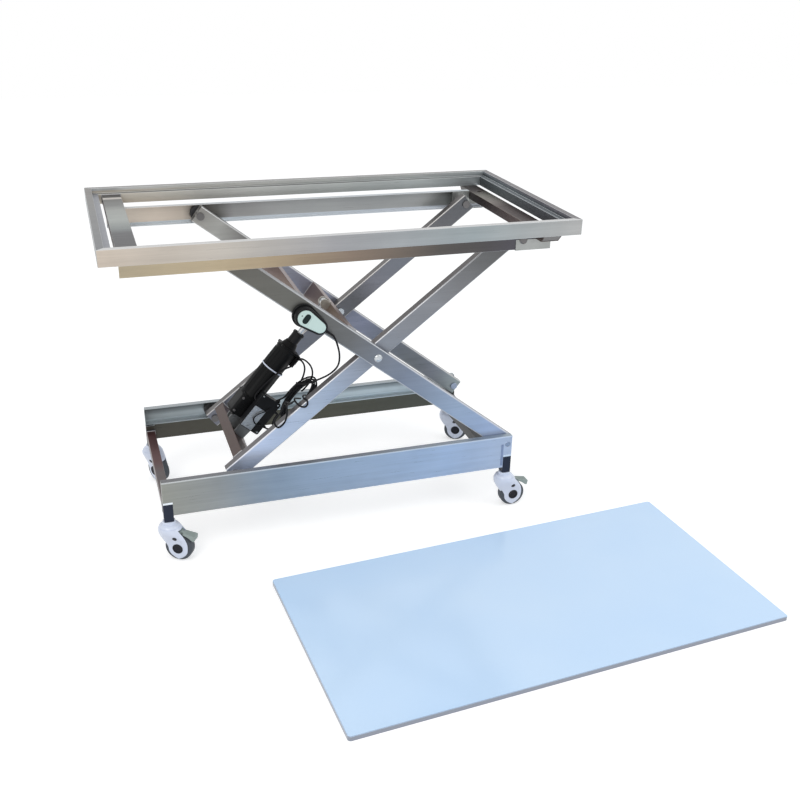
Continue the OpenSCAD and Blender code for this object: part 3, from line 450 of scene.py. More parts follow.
steel("base_cross_right", DEEP, [
    (0, (20, 26, 30)), (0.5, (16, 20, 24)), (1, (18, 20, 22))],
    top=(14, 19, 26), edge=(70, 76, 80), metal=0.4)
steel("arm_a_tie", DEEP, [
    (0, (190, 172, 148)), (0.5, (176, 156, 144)), (1, (160, 142, 134))],
    edge=(96, 72, 70), lid=(ARM_A_LID, (84, 58, 60)))
steel("actuator_beam", DEEP, [
    (0, (150, 128, 100)), (0.5, (174, 166, 150)), (1, (112, 112, 120))],
    edge=(104, 80, 76), lid=(ARM_A_LID, (112, 100, 98)))
steel("arm_b_tie", DEEP, [
    (0, (36, 19, 17)), (0.45, (33, 17, 15)), (0.7, (32, 24, 23)), (1, (38, 30, 28))],
    lid=(ARM_B_LID, (20, 9, 8)), edge=(80, 58, 52), metal=0.3)
bright_metal = sheet_metal("bright fittings", (198, 202, 205), 0.24)
plate_metal = sheet_metal("bracket plate", (122, 124, 124), 0.38, grain=(400, 60, 400))
pivot_metal = sheet_metal("pivot bracket", (162, 164, 162), 0.38, grain=(400, 60, 400))
bolt_metal = sheet_metal("dull bolt", (112, 110, 110), 0.36)
pin_metal = sheet_metal("pin head", (150, 162, 182), 0.34)
# Bright tone of the strips that stand for a painted highlight at the foot of each post collar
highlight_metal = sheet_metal("post rim", (222, 229, 236), 0.3)
seam_metal = sheet_metal("post seam", (140, 152, 178), 0.4)
clevis_metal = sheet_metal("clevis plate", (176, 172, 164), 0.34, grain=(400, 60, 400))
black_cast = moulded("black cast housing", (16, 17, 18), 0.42, 500, 0.2, 0.25, up_speckle=(30, 31, 31),
                     shine=0.12)
black_tube = moulded("black tube paint", (20, 21, 24), 0.36, 1500, 0.06, 0.15, shine=0.18)
black_plastic = moulded("black plastic", (16, 17, 19), 0.44, 1100, 0.2, 0.2, up_speckle=(36, 38, 42),
                        shine=0.2)
plug_plastic = moulded("corner plug plastic", (38, 44, 60), 0.42, 900, 0.2, 0.1, shine=0.2)
pearl = moulded("pearl caster shell", (214, 222, 240), 0.28, 700, 0.05, 0.03, coat=0.4)
tread_rubber = moulded("wheel tread", (66, 72, 80), 0.6, 420, 0.3, 0.12, up_speckle=(120, 124, 128))
hub_plastic = moulded("hub cap black", (22, 23, 32), 0.36, 900, 0.08, 0.1, shine=0.2)
pedal_plastic = moulded("pedal grey", (148, 160, 157), 0.5, 600, 0.25, 0.1)
nylon = moulded("roller nylon", (40, 40, 42), 0.5, 800, 0.15, 0.1)
aqua = moulded("handset face", (196, 218, 213), 0.3, 900, 0.05, 0.03, coat=0.2)
lead_rubber = moulded("lead sheath", (12, 12, 16), 0.5, 1300, 0.12, 0.12, shine=0.2)
aqua_line = moulded("handset print line", (150, 172, 168), 0.35, 900, 0.05, 0.03)
key_rubber = moulded("rocker key", (14, 32, 32), 0.42, 1200, 0.12, 0.1, shine=0.2)
weld_metal = sheet_metal("weld bead", (168, 168, 170), 0.36, 0.7, 0.18, (700, 700, 700))
box_plate = sheet_metal("bare box plate", (196, 200, 202), 0.28, grain=(60, 400, 400))


def panel_paint():
    p = Paint("panel film", 0.12)
    cloud = p.noise(1.6, 3)
    fine = p.noise(900, 2)
    c = p.ramp(p.remap(cloud, 0.3, 0.7, 0, 1), [(0, (196, 224, 254)), (1, (206, 230, 255))])
    c = p.mix(p.remap(p.facing(Z), 0.9, 0.2, 0, 1), c, (150, 156, 170))
    p.color(c)
    p.rough(cloud, 0.1, 0.18)
    p.bump(fine, 0.02, 0.0001)
    return p.mat


panel_film = panel_paint()

# Slots of the scene's own paints, by the paint's name; piece() looks one up but does nothing more
# with it
SLOTS = {
    "black_plastic": (black_plastic, hub_plastic, tread_rubber, nylon, key_rubber),
    "black_metal": (black_cast,), "pearl_plastic": (pearl,), "grey_plastic": (pedal_plastic,),
    "handset_face": (aqua, aqua_line), "lead": (lead_rubber,),
    "bright_steel": (bright_metal, bolt_metal, pin_metal),
    "steel": (highlight_metal, seam_metal, weld_metal),
}
SLOT_OF = {paint.name: slot for slot, paints in SLOTS.items() for paint in paints}

# The other finishes, and the starts of the CAD nodes' names that get them
for paint, starts in (
    (pivot_metal, "pivot_brackets"),
    (bolt_metal, "upper_pivot_bolts upper_roller_axles lower_roller_axles"),
    (plug_plastic, "stem_plugs"),
    (pin_metal, "lower_pivot_bolts"),
    (clevis_metal, "rod_clevis"),
    (bright_metal, "centre_pins actuator_rod"),
    (plate_metal, "motor_bracket"),
    (nylon, "roller_"),
    (black_cast, "gear_housing motor_can"),
    (black_tube, "guide_tube"),
    (black_plastic, "control_box handset_holster handset_back handset_key lead_relief"),
    (box_plate, "control_plate"),
    (pearl, "cable_ties caster_hood_"),
    (tread_rubber, "caster_wheel_"),
    (pedal_plastic, "brake_pedal_"),
    (aqua, "handset_face"),
    (lead_rubber, "handset_lead lead_hank"),
    (panel_film, "tabletop_panel"),
):
    LOOKS.update((name, paint) for name in nodes if name.startswith(tuple(starts.split())))


def soften(obj, width):
    """Rounds an object's sharp edges."""
    bevel = obj.modifiers.new("edges", "BEVEL")
    bevel.width = width
    bevel.segments = 2
    bevel.limit_method = "ANGLE"
    bevel.angle_limit = radians(32)
    bevel.harden_normals = True


# Edge radii in metres, and the starts of the CAD nodes' names that get them
EDGES = {
    0.0012: "top_cross_ base_cross_ arm_a_tie arm_b_tie actuator_beam stem_plugs",
    0.0006: "top_rail_ base_rail_ pivot_brackets rod_clevis motor_bracket caster_wheel "
            "upper_pivot_bolts lower_pivot_bolts centre_pins",
    0.0008: "frame_", 0.003: "gear_housing", 0.0015: "motor_can caster_hood",
    0.002: "control_box", 0.001: "brake_pedal", 0.0009: "handset_", 0.0003: "control_plate",
}
for name, obj in nodes.items():
    paints = obj.data.materials
    if not paints:
        paints.append(LOOKS[name])
    for k in range(len(paints)):
        paints[k] = LOOKS[name]
    for width, starts in EDGES.items():
        if name.startswith(tuple(starts.split())):
            weld = obj.modifiers.new("weld", "WELD")
            weld.merge_threshold = 0.00001
            if name.startswith("base_rail_"):
                flat = obj.modifiers.new("flat faces", "DECIMATE")
                flat.decimate_type = "DISSOLVE"
                flat.angle_limit = radians(0.5)
            soften(obj, width)


# Shapes, each a bmesh in local millimetres

def around(count):
    """Equal steps of a full turn, in radians."""
    return [2 * pi * k / count for k in range(count)]


def circle(bm, r, z, count):
    return [bm.verts.new((r * cos(a), r * sin(a), z)) for a in around(count)]


def skin(bm, rings, loop=False):
    """Joins rings of equal point count, into a loop or with closed ends."""
    count = len(rings[0])
    for a, b in zip(rings, rings[1:] + rings[:1] if loop else rings[1:]):
        for k in range(count):
            j = (k + 1) % count
            bm.faces.new([a[k], a[j], b[j], b[k]])
    if not loop:
        bm.faces.new(rings[0][::-1])
        bm.faces.new(rings[-1])
    return bm


def lathe(profile, count=48):
    """Turns (radius, height) pairs about the local z axis."""
    bm = bmesh.new()
    rings = [circle(bm, r, z, count if r else 1) for r, z in profile]
    for a, b in zip(rings, rings[1:]):
        for k in range(count):
            face = [a[k % len(a)], a[(k + 1) % len(a)], b[(k + 1) % len(b)], b[k % len(b)]]
            face = list(dict.fromkeys(face))
            if len(face) > 2:
                bm.faces.new(face)
    for ring in (rings[0], rings[-1]):
        if len(ring) > 2:
            bm.faces.new(ring)
    return bm


def stack(levels):
    """A closed skin over outlines of equal point count, as (height, points)."""
    bm = bmesh.new()
    return skin(bm, [[bm.verts.new((x, y, z)) for x, y in points] for z, points in levels])


def prism(outline, z0, z1):
    """An outline drawn out from one height to another."""
    return stack([(z0, outline), (z1, outline)])


def rounded(w, h, r, steps=6):
    """Outline of a rectangle with round corners."""
    turns = [(cx, cy, radians(a0 + 90 * k / steps))
             for cx, cy, a0 in ((1, 1, 0), (-1, 1, 90), (-1, -1, 180), (1, -1, 270))
             for k in range(steps + 1)]
    return [(cx * (w / 2 - r) + r * cos(a), cy * (h / 2 - r) + r * sin(a)) for cx, cy, a in turns]


def drop(r0, r1, span, grow, steps=20):
    """Outline of a big round end, a small one and straight flanks."""
    tilt = acos((r0 - r1) / span)
    big = [tilt + (2 * pi - 2 * tilt) * k / (2 * steps) for k in range(2 * steps + 1)]
    small = [-tilt + 2 * tilt * k / steps for k in range(steps + 1)]
    return ([((r0 + grow) * cos(a), (r0 + grow) * sin(a)) for a in big]
            + [(span + (r1 + grow) * cos(a), (r1 + grow) * sin(a)) for a in small])


def tube(points, r, count=10):
    """A round bar along points, in any unit; returns a bmesh."""
    bm = bmesh.new()
    rings = []
    side = None
    for i, p in enumerate(points):
        way = (points[min(i + 1, len(points) - 1)] - points[max(i - 1, 0)]).normalized()
        if side is None:
            side = way.orthogonal().normalized()
        side = (side - way * side.dot(way)).normalized()
        other = way.cross(side)
        rings.append([bm.verts.new(p + r * (cos(a) * side + sin(a) * other))
                      for a in around(count)])
    return skin(bm, rings)


def merge(*parts):
    """Several bmeshes as one; a part may be a pair of a bmesh and its local matrix."""
    out = bmesh.new()
    for part in parts:
        bm, m = part if isinstance(part, tuple) else (part, None)
        if m is not None:
            bm.transform(m)
        mesh = bpy.data.meshes.new("part")
        bm.to_mesh(mesh)
        out.from_mesh(mesh)
        bm.free()
        bpy.data.meshes.remove(mesh)
    return out


def move(x, y, z):
    return Matrix.Translation((x, y, z))


def turn(degrees, axis):
    return Matrix.Rotation(radians(degrees), 4, axis)


def new_object(name, bm):
    bmesh.ops.recalc_face_normals(bm, faces=bm.faces)
    mesh = bpy.data.meshes.new(name)
    bm.to_mesh(mesh)
    bm.free()
    obj = bpy.data.objects.new(name, mesh)
    scene.collection.objects.link(obj)
    return obj


def piece(name, bm, at, body, paint, slot=None, edge=0.0, replaces=(), smooth=40):
    """A finished piece: a shape put in its local frame at, riding on a body."""
    slot = slot or SLOT_OF[paint.name]
    if at is not None:
        bm.transform(at)
    obj = new_object(name, bm)
    obj.data.shade_smooth()
    obj.data.set_sharp_from_angle(angle=radians(smooth))
    obj.data.materials.append(paint)
    if edge:
        soften(obj, edge)
    if body:
        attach(obj, body)
    if replaces:
        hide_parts(*replaces)
    return obj


# Cords: the handset's lead and the hank of spare cable, on the CAD's own routes

LEAD_D = 5
ARM_FACE_Y = 221
HAND_X = 249
HAND_SPAN = 47
HAND_R = 27
HAND_TIP_R = 20.5
HANDSET_Z = -12
HOLSTER_T = 8
RELIEF_L = 16
RELIEF_OUT = 9
RELIEF_X = HAND_X + HAND_SPAN + HAND_TIP_R
RELIEF_END = RELIEF_X + RELIEF_L
RELIEF_Y = -ARM_FACE_Y - HOLSTER_T - RELIEF_OUT
HANK_MID = (164, -70.2, -92)
HANK_HALF = (74, 34)
HANK_TURNS = 6
HANK_STEP = 6.7
HANK_LAYER = 9.8
TURN_POINTS = 24


def blend4(a, b, c, d, t):
    """A smooth curve through b and c, at t from 0 to 1 between them."""
    return 0.5 * ((2 * b) + (c - a) * t + (2 * a - 5 * b + 4 * c - d) * t ** 2
                  + (3 * b - a - 3 * c + d) * t ** 3)


def smooth_run(p, n):
    """A smooth curve through the points, n steps from each to the next."""
    last = len(p) - 1
    return [blend4(p[max(i - 1, 0)], p[i], p[i + 1], p[min(i + 2, last)], k / n)
            for i in range(last) for k in range(n)] + [p[-1]]


def hank_point(f):
    """A point of the hank after f turns: inward in one layer, then outward in the other."""
    w = radians(360 * f + 90)
    g = HANK_STEP * min(f if f < HANK_TURNS / 2 else HANK_TURNS - f, 2.5)
    layer = min(1, max(0, f - 2.5))
    return Vector((HANK_MID[0] + (HANK_HALF[0] - g) * cos(w),
                   HANK_MID[1] + HANK_LAYER * (layer - 0.5),
                   HANK_MID[2] + (HANK_HALF[1] - g) * sin(w)))


hank_end = hank_point(HANK_TURNS)
HANK_TAIL = [hank_end, hank_end - Vector((12, 0, 0)), Vector((142, -64, -58)),
             Vector((132, -55.5, -58)), Vector((126, -49.5, -58)), Vector((122, -49.5, -58))]
HANK = [ACTUATOR @ hank_point(i / TURN_POINTS) for i in range(HANK_TURNS * TURN_POINTS)]
HANK += [ACTUATOR @ v for v in smooth_run(HANK_TAIL, 4)]
HANK += [ACTUATOR @ Vector((118, -49.5, -58))]
LEAD_POINTS = [(-32, -235, 565), (-24, -228, 530), (-24, -210, 493), (-38, -178, 458),
               (-62, -140, 428), (-86, -108, 406), (-106, -81, 394)]
lead_exit = row(ROLLER_X + RELIEF_END * COS + HANDSET_Z * SIN, RELIEF_Y,
                HIGH_Z - RELIEF_END * SIN + HANDSET_Z * COS)
STRAIGHT = 2 * LEAD_D / 1000
hank_way = (HANK[1] - HANK[0]).normalized()
lead_run = [lead_exit] + smooth_run([lead_exit + STRAIGHT * Vector(ARM_A_WAY)]
                                    + [row(*p) for p in LEAD_POINTS]
                                    + [HANK[0] - STRAIGHT * hank_way], 4) + [HANK[0]]


lead = piece("lead_of_handset", tube(lead_run, LEAD_D / 2000, 12), None, None, lead_rubber,
             replaces=("handset_lead",))
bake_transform(lead)
hank = piece("hank_of_cable", tube(HANK, LEAD_D / 2000, 12), None, "arm_b", lead_rubber,
             replaces=("lead_hank",))


# Casters: moulded hoods, tyres with hub caps, and the brake pedals

BRAKED = ("fl", "fr")
WHEEL_R = 37.5
TRAIL = 26
HOOD_TOP = 104.7
CORNERS = {"fl": (-491.5, -228.5, -30), "fr": (473.5, -228.5, 0),
           "bl": (-491.5, 228.5, -60), "br": (473.5, 228.5, -25)}
HOOD = ((HOOD_TOP, 0, 17.3, 17.3, 2), (102.6, 0, 22.5, 22.5, 2), (99.5, 0, 26, 26, 2),
        (96.6, 0.5, 28, 28, 2), (96.2, 0.5, 27.2, 27.2, 2), (95.4, 0.5, 27.2, 27.2, 2),
        (95, 0.5, 28.8, 28.6, 2), (91, 1.5, 31, 30, 2.1), (86, 3, 33, 30, 2.15),
        (80, 6, 35.5, 28, 2.35), (74, 9.5, 37, 25.5, 2.6), (68, 13, 37.5, 22.8, 3),
        (63, 16, 37.3, 20.6, 3.4), (57, 19.5, 36.6, 19, 3.8), (50, 23, 35.5, 17.9, 4),
        (43, 25.2, 34, 17.6, 4), (37.5, 26, 33, 17.5, 4), (31, 26, 32.3, 17.5, 4),
        (25, 26, 30.6, 17.5, 4), (19, 26, 27.2, 17.3, 3.8), (14, 26, 22.9, 17, 3.5),
        (10, 26, 18, 16.7, 3), (7, 26, 12.6, 16.3, 2.7), (5.2, 26, 6.8, 15.9, 2.2),
        (4.5, 26, 2.4, 15.6, 2))


def oval(cx, ax, ay, n, count=56):
    """Outline of an oval that gets squarer as n grows from 2."""
    return [(cx + ax * copysign(abs(cos(a)) ** (2 / n), cos(a)),
             ay * copysign(abs(sin(a)) ** (2 / n), sin(a))) for a in around(count)]


def carve(bm, *cutters):
    """The first shape with the others cut away."""
    body = new_object("carved", bm)
    tools = [new_object("cutter", c) for c in cutters]
    for t in tools:
        m = body.modifiers.new("carve", "BOOLEAN")
        m.operation = "DIFFERENCE"
        m.solver = "EXACT"
        m.object = t
    graph = bpy.context.evaluated_depsgraph_get()
    mesh = bpy.data.meshes.new_from_object(body.evaluated_get(graph))
    out = bmesh.new()
    out.from_mesh(mesh)
    for obj in [body] + tools:
        old = obj.data
        bpy.data.objects.remove(obj)
        bpy.data.meshes.remove(old)
    bpy.data.meshes.remove(mesh)
    return out


def block(x0, x1, y0, y1, z0, z1, r=0):
    """A box between two corners, its upright edges rounded by r."""
    outline = [(x0, y0), (x1, y0), (x1, y1), (x0, y1)]
    if r:
        outline = [(x + (x0 + x1) / 2, y + (y0 + y1) / 2)
                   for x, y in rounded(x1 - x0, y1 - y0, r)]
    return prism(outline, z0, z1)


def ring_lathe(profile, count=64):
    """Turns a closed loop of (radius, height) pairs about the local z axis."""
    bm = bmesh.new()
    return skin(bm, [circle(bm, r, z, count) for r, z in profile], loop=True)


def mirrored(profile):
    """A profile over both sides of z = 0, given its half with z below 0."""
    return profile + [(r, -z) for r, z in profile[::-1] if z]


LIE = turn(90, "X")
LIE_BACK = turn(-90, "X")
TO_X = turn(90, "Y")
ALONG_X = Matrix(((0, 0, 1, 0), (1, 0, 0, 0), (0, 1, 0, 0), (0, 0, 0, 1)))
HUB = move(TRAIL, 0, WHEEL_R)
PEDAL_TILT = turn(10, "Y")
PEDAL_AT = (30, 0, 80)
BORE = [(40.3, -15), (40.3, 15)]
TYRE = mirrored([(24, -13.5), (33.2, -13.5), (35.6, -12.6), (37, -10.6), (37.45, -7.5),
                 (WHEEL_R, 0)])
CORE = mirrored([(0, -12.8), (8, -12.8), (10, -10.4), (21, -10.4), (24.05, -12.8)])
CAP = [(0, 17.75), (13.9, 17.75), (14.3, 18.2), (14.1, 18.9), (13, 19.35), (11.4, 19.1),
       (10.6, 18.75), (5.2, 18.75), (4.6, 19.2), (0, 19.3)]
STEM = [(0, HOOD_TOP), (17.3, HOOD_TOP), (17.3, 109), (16.2, 112.4), (5.5, 112.6),
        (5.5, 152), (0, 152.5)]
BOSS = [(0, 15.2), (7, 15.2), (7, 17.6), (0, 17.6)]
DOT = [(0, -3), (6, -3), (6, 0.9), (5, 1.4), (0, 1.5)]
PEDAL_PAD = [(10, -1.5), (20, -3), (28, -6), (34, -9.5), (41, -12.5), (43.6, -11.6),
             (44.6, -9), (44.6, 0.6), (43.4, 2.6), (41, 3.4), (10, 3.4)]
PEDAL_ARM = [(-5.5, -3.4), (-3, -4.4), (3, -3.6), (16, -1.6), (20, -0.4), (20, 3), (12, 3.4),
             (2, 4.2), (-4, 3.6), (-5.8, 0)]
for corner, (cx, cy, angle) in CORNERS.items():
    a = radians(angle)
    here = axes((cx, cy, 0), (cos(a), sin(a), 0), Z)
    hood = stack([(z, oval(x, ax, ay, n)) for z, x, ax, ay, n in HOOD])
    bore = lathe(BORE, 72)
    bore.transform(HUB @ LIE)
    holes = [bore, block(-62, 124, -15, 15, -1, 50.5)]
    if corner in BRAKED:
        holes.append(block(20, 80, -14.6, 14.6, 64, 90))
    piece("hood_shell_" + corner,
          merge(carve(hood, *holes), lathe(STEM), (lathe(BOSS, 32), HUB @ LIE),
                (lathe(BOSS, 32), HUB @ LIE_BACK)),
          here, "hood_" + corner, pearl, edge=0.0005,
          replaces=("caster_hood_" + corner,), smooth=38)
    dots = []
    for side in (-1, 1):
        out = Matrix(((1, 0, 0, 22), (0, -0.407, 0.914 * side, 23.3 * side),
                      (0, -0.914 * side, -0.407, 70), (0, 0, 0, 1)))
        dots.append((lathe(DOT, 28), out))
    piece("hood_dots_" + corner, merge(*dots), here, "hood_" + corner, hub_plastic, smooth=35)
    here_wheel = here @ HUB @ LIE
    piece("tyre_" + corner, ring_lathe(TYRE, 96), here_wheel, "wheel_" + corner, tread_rubber,
          replaces=("caster_wheel_" + corner,), smooth=30)
    piece("wheel_core_" + corner, lathe(CORE, 64), here_wheel, "wheel_" + corner, nylon,
          smooth=30)
    piece("hub_caps_" + corner, merge(lathe(CAP), (lathe(CAP), turn(180, "X"))), here_wheel,
          "wheel_" + corner, hub_plastic, smooth=35)
    if corner in BRAKED:
        ribs = [(block(16 + 5 * k, 17.4 + 5 * k, -8, 8, 3.2, 4.1), PEDAL_TILT) for k in range(5)]
        pin = lathe([(0, -17), (3, -17), (3, 17), (0, 17)], 24)
        piece("pedal_" + corner,
              merge((prism(PEDAL_PAD, -11.8, 11.8), PEDAL_TILT @ LIE), *ribs,
                    (prism(PEDAL_ARM, -5.5, 5.5), PEDAL_TILT @ LIE), (pin, LIE)),
              here @ move(*PEDAL_AT), "pedal_" + corner, pedal_plastic, edge=0.0012,
              replaces=("brake_pedal_" + corner,), smooth=35)


# Handset: ribbed holster and shell, crowned face, rocker key, and a ribbed lead relief

HAND = ARM_A @ Matrix(((1, 0, 0, HAND_X), (0, 0, -1, -ARM_FACE_Y), (0, 1, 0, HANDSET_Z),
                       (0, 0, 0, 1)))


def hand_shape(levels, tip_less=0):
    """The handset's drop outline through levels of (height, growth)."""
    return stack([(z, drop(HAND_R, HAND_TIP_R - tip_less, HAND_SPAN, g)) for z, g in levels])


holster = hand_shape([(0.1, 3.4), (1, 4), (3.2, 4), (3.7, 3.2), (4.3, 3.2), (4.8, 4), (7.2, 4),
                      (HOLSTER_T, 3)], tip_less=4)
piece("holster_shell", holster, HAND, "arm_a", black_plastic, replaces=("handset_holster",),
      smooth=28)
shell = hand_shape([
    (HOLSTER_T, -1.6), (8.5, -0.4), (9.6, 0), (12, 0), (12.4, -0.8), (13.2, -0.8), (13.6, 0),
    (16.4, 0), (16.8, -0.8), (17.6, -0.8), (18, 0), (20.6, 0), (21, -0.8), (21.8, -0.8), (22.2, 0),
    (23.6, -0.2), (25, -1), (26.1, -2.4), (26.7, -4), (26.7, -5.2), (26.1, -5.9), (25.2, -6.0)])
piece("handset_shell", shell, HAND, "arm_a", black_plastic, replaces=("handset_back",), smooth=26)
plate = hand_shape([(25, -6.1), (27.3, -6.1), (28.1, -6.5), (28.6, -7.6), (28.9, -10), (29, -14)])


def slot_outline(grow):
    """The rocker's round-ended outline."""
    return [(2.4 + x, y) for x, y in rounded(12 + 2 * grow, 24 + 2 * grow, 5.99 + grow, 10)]


piece("handset_plate", carve(plate, prism(slot_outline(1.9), 24, 31)), HAND, "arm_a", aqua,
      replaces=("handset_face",), smooth=26)
ROCKER = [(26.6, 1.3), (28.9, 1.3), (29.6, 0.8), (29.95, -0.3), (29.75, -2), (29.5, -4.2)]
rocker = stack([(z, slot_outline(g)) for z, g in ROCKER])
piece("rocker_key", rocker, HAND, "key", key_rubber, replaces=("handset_key",), smooth=30)
piece("rocker_waist", block(-2.2, 8.2, -0.5, 0.5, 29.3, 29.9), HAND, "key", black_plastic,
      edge=0.0002)
piece("handset_lamp", lathe([(0, 28.4), (1.7, 28.4), (1.7, 29), (1.1, 29.5), (0, 29.6)], 20),
      HAND @ move(-12.5, 0.5, 0), "arm_a", key_rubber, smooth=50)
piece("handset_line", block(12.6, 13.1, -15.5, 15.5, 28.2, 29.02), HAND, "arm_a", aqua_line)
ribs = [(0, -3.7), (4.5, -3.7), (4.5, 1)]
for k in range(5):
    r = 4.5 - 0.36 * k
    z = 1 + 2.6 * k
    ribs += [(r, z), (r, z + 1.4), (r - 0.7, z + 1.6), (r - 0.7, z + 2.4)]
ribs += [(2.9, 14.4), (2.75, 15.6), (0, 15.7)]
piece("relief_ribs", lathe(ribs, 28), ARM_A @ move(RELIEF_X, RELIEF_Y, HANDSET_Z) @ TO_X,
      "arm_a", black_plastic, replaces=("lead_relief",), smooth=30)


# Actuator: flange, screws, connector, seal, gland and lid details, wires

def screw(r=3.6, h=2.2):
    """A socket head with its hex recess, standing on z = 0."""
    head = lathe([(0, 0), (r, 0), (r, h - 0.5), (r - 0.5, h), (0, h)], 24)
    hexagon = [(0.55 * r * cos(a), 0.55 * r * sin(a)) for a in around(6)]
    return carve(head, prism(hexagon, h - 1.3, h + 1))


def facing_front(x, y, z):
    return ACTUATOR @ move(x, y, z) @ turn(90, "X")


GEAR_Y = 29.8
BOX_Y = 50
BOX_MID = (63, -36)
FLANGE = rounded(62.2, 64.2, 9)
piece("gear_flanges", merge(prism(FLANGE, 16.5, 20.5), prism(FLANGE, 74, 79)),
      ACTUATOR @ move(0, 0, -3) @ ALONG_X, "actuator_body", black_cast, edge=0.0008)
for k, (x, z) in enumerate(((26, 21), (26, -27), (69, 21), (69, -27))):
    piece("gear_screw_%d" % k, screw(), facing_front(x, -30, z), "actuator_body", bolt_metal,
          smooth=35)
ridges = [block(36 + 6 * k, 38 + 6 * k, -20, 12, 0, 1.4, 0.9) for k in range(5)]
piece("gear_ribs", merge(*ridges), facing_front(0, -GEAR_Y, 0), "actuator_body", black_cast,
      edge=0.0004)
fins = [(block(92, 238, -0.8, 0.8, 29.2, 30.9, 0.6), turn(-64 + 21.4 * k, "X"))
        for k in range(7)]
piece("can_fins", merge(*fins), ACTUATOR, "actuator_body", black_cast, edge=0.0004)
piece("can_end_ring",
      ring_lathe([(25.6, 0), (30.6, 0), (31.2, 1), (31.2, 5), (30.4, 6.4), (25.6, 6.4)], 64),
      ACTUATOR @ move(244, 0, 0) @ TO_X, "actuator_body", black_cast, smooth=30)
piece("tube_seal",
      ring_lathe([(14.6, 0), (16.6, 0), (17.4, 1), (17.4, 6), (16.6, 7.6), (14.6, 7.6)], 48),
      ACTUATOR @ move(298, 0, 0) @ TO_X, "actuator_body", black_plastic, smooth=30)
plug = merge(block(214, 252, -15, 9, -43.5, -33, 2),
             block(224, 246, -12, 6, -46, -43.6, 2),
             block(236, 244, -19, -14, -41, -35, 1.5))
piece("cable_plug", plug, ACTUATOR, "actuator_body", black_plastic, edge=0.0008)
for k, (x, z) in enumerate(((14.5, -61), (112, -61), (112, -11))):
    piece("box_screw_%d" % k, screw(2.4, 1.2), facing_front(x, -62, z), "arm_b", bright_metal,
          smooth=35)
lid, cut = ([(BOX_MID[0] + x, BOX_MID[1] + y) for x, y in rounded(*size)]
            for size in ((111, 63, 5.5), (108.8, 60.8, 4.6)))
piece("box_lid_rim", carve(prism(lid, 0, 1), prism(cut, -1, 2)), facing_front(0, -BOX_Y, 0),
      "arm_b", black_plastic, edge=0.0003)
GLAND = [(0, 0), (5.5, 0), (5.5, 3), (4.2, 4), (4.2, 8), (3.2, 10), (0, 10)]
glands = [(lathe(GLAND, 24), move(x, -BOX_Y, -67) @ turn(180, "X")) for x in (36, 88)]
glands.append((lathe([(0, 0), (6, 0), (6, 4), (4.6, 5), (4.4, 7), (0, 7)], 24),
               move(118, -49.5, -58) @ TO_X))
piece("cable_glands", merge(*glands), ACTUATOR, "arm_b", black_plastic, smooth=35)


def wire(name, points, body=None, d=LEAD_D, place=ACTUATOR):
    """A fixed wire on a body; without one, it crosses from the actuator to the inner arms."""
    run = [place @ Vector(p) for p in smooth_run([Vector(p) for p in points], 6)]
    obj = piece(name, tube(run, d / 2000, 10), None, body, lead_rubber)
    if not body:
        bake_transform(obj)


wire("plug_wire_a", (
    (240, -17, -38), (246, -26, -38), (250, -38, -40), (248, -48, -48), (238, -54, -58),
    (220, -57, -66), (202, -58.5, -70), (186, -59, -74), (172, -59, -80)))
wire("plug_wire_b", (
    (242, -16, -39), (252, -26, -42), (257, -38, -50), (256, -48, -64), (248, -53, -78),
    (234, -56, -88), (216, -58, -92), (198, -58.5, -92), (182, -59, -90)))
wire("plate_wire", (
    (94, -61, -48), (88, -65, -45), (80, -67.5, -40), (68, -68.3, -31), (56, -68.3, -25),
    (45, -68, -25), (37, -67.5, -32), (34, -67, -42), (36, -65.5, -51), (40, -62, -56)),
    "arm_b", 3.6)
wire("loop_wire", (
    (120, -58.5, -80), (112, -58.5, -90), (100, -58.5, -99), (86, -59.5, -105), (72, -60, -106),
    (60, -60, -101), (54, -59, -93), (58, -57, -85), (72, -53, -81), (86, -50.5, -81),
    (88, -50, -76)), "arm_b")
wire("box_wire", (
    (36, -50, -76), (36, -51, -84), (44, -54, -92), (60, -58, -96), (80, -60, -94),
    (100, -60.5, -88), (116, -61, -84), (128, -61, -80)), "arm_b")
wire("can_wire", (
    (232, -14, -38), (228, -24, -36), (218, -31, -30), (205, -34.5, -20), (185, -35.2, -11),
    (160, -34.6, -5), (135, -34, -1), (112, -35, 1.5), (98, -39, 2.5), (90, -44, 0),
    (88, -47, -5.2)))
wire("hanging_loop", (
    (-115, -82, 345), (-130, -100, 350), (-148, -140, 372), (-158, -170, 388), (-162, -192, 392),
    (-160.7, -198, 378), (-161.5, -198, 361), (-166.4, -198, 344.6), (-174.6, -198, 333.5),
    (-184.8, -198, 328), (-192, -198, 333.4), (-195.4, -198, 343.6), (-192.9, -198, 353),
    (-185.9, -198, 361.7), (-177, -198, 372.6), (-171, -194, 383), (-166, -172, 383),
    (-155, -140, 368), (-138, -100, 346), (-122, -82, 340)), "arm_b", place=TABLE)
wire("small_loop", (
    (-100, -92, 356), (-118, -130, 375), (-132, -165, 392), (-138, -193, 399), (-131, -198, 389),
    (-121, -198, 381), (-111, -198, 379.4), (-105, -198, 386), (-106, -198, 397),
    (-114, -195, 403), (-110, -168, 398), (-98, -130, 382), (-86, -90, 364)),
    "arm_b", place=TABLE)
band = carve(prism(rounded(17, 21, 3), -2, 2), prism(rounded(15.8, 19.8, 2.4), -3, 3))
piece("hank_band", band, ACTUATOR @ move(196, HANK_MID[1], -67.9) @ ALONG_X, "arm_b",
      black_plastic, edge=0.0002)


# Pin heads, collars and washers: crowned caps over the plain ones

def dome(r, h):
    """A crowned cap of radius r and height h."""
    return lathe([(0, -0.4), (r - 0.4, -0.4), (r, 0), (r, 0.6), (r * 0.93, h * 0.5),
                  (r * 0.75, h * 0.8), (r * 0.45, h * 0.96), (0, h)], 40)


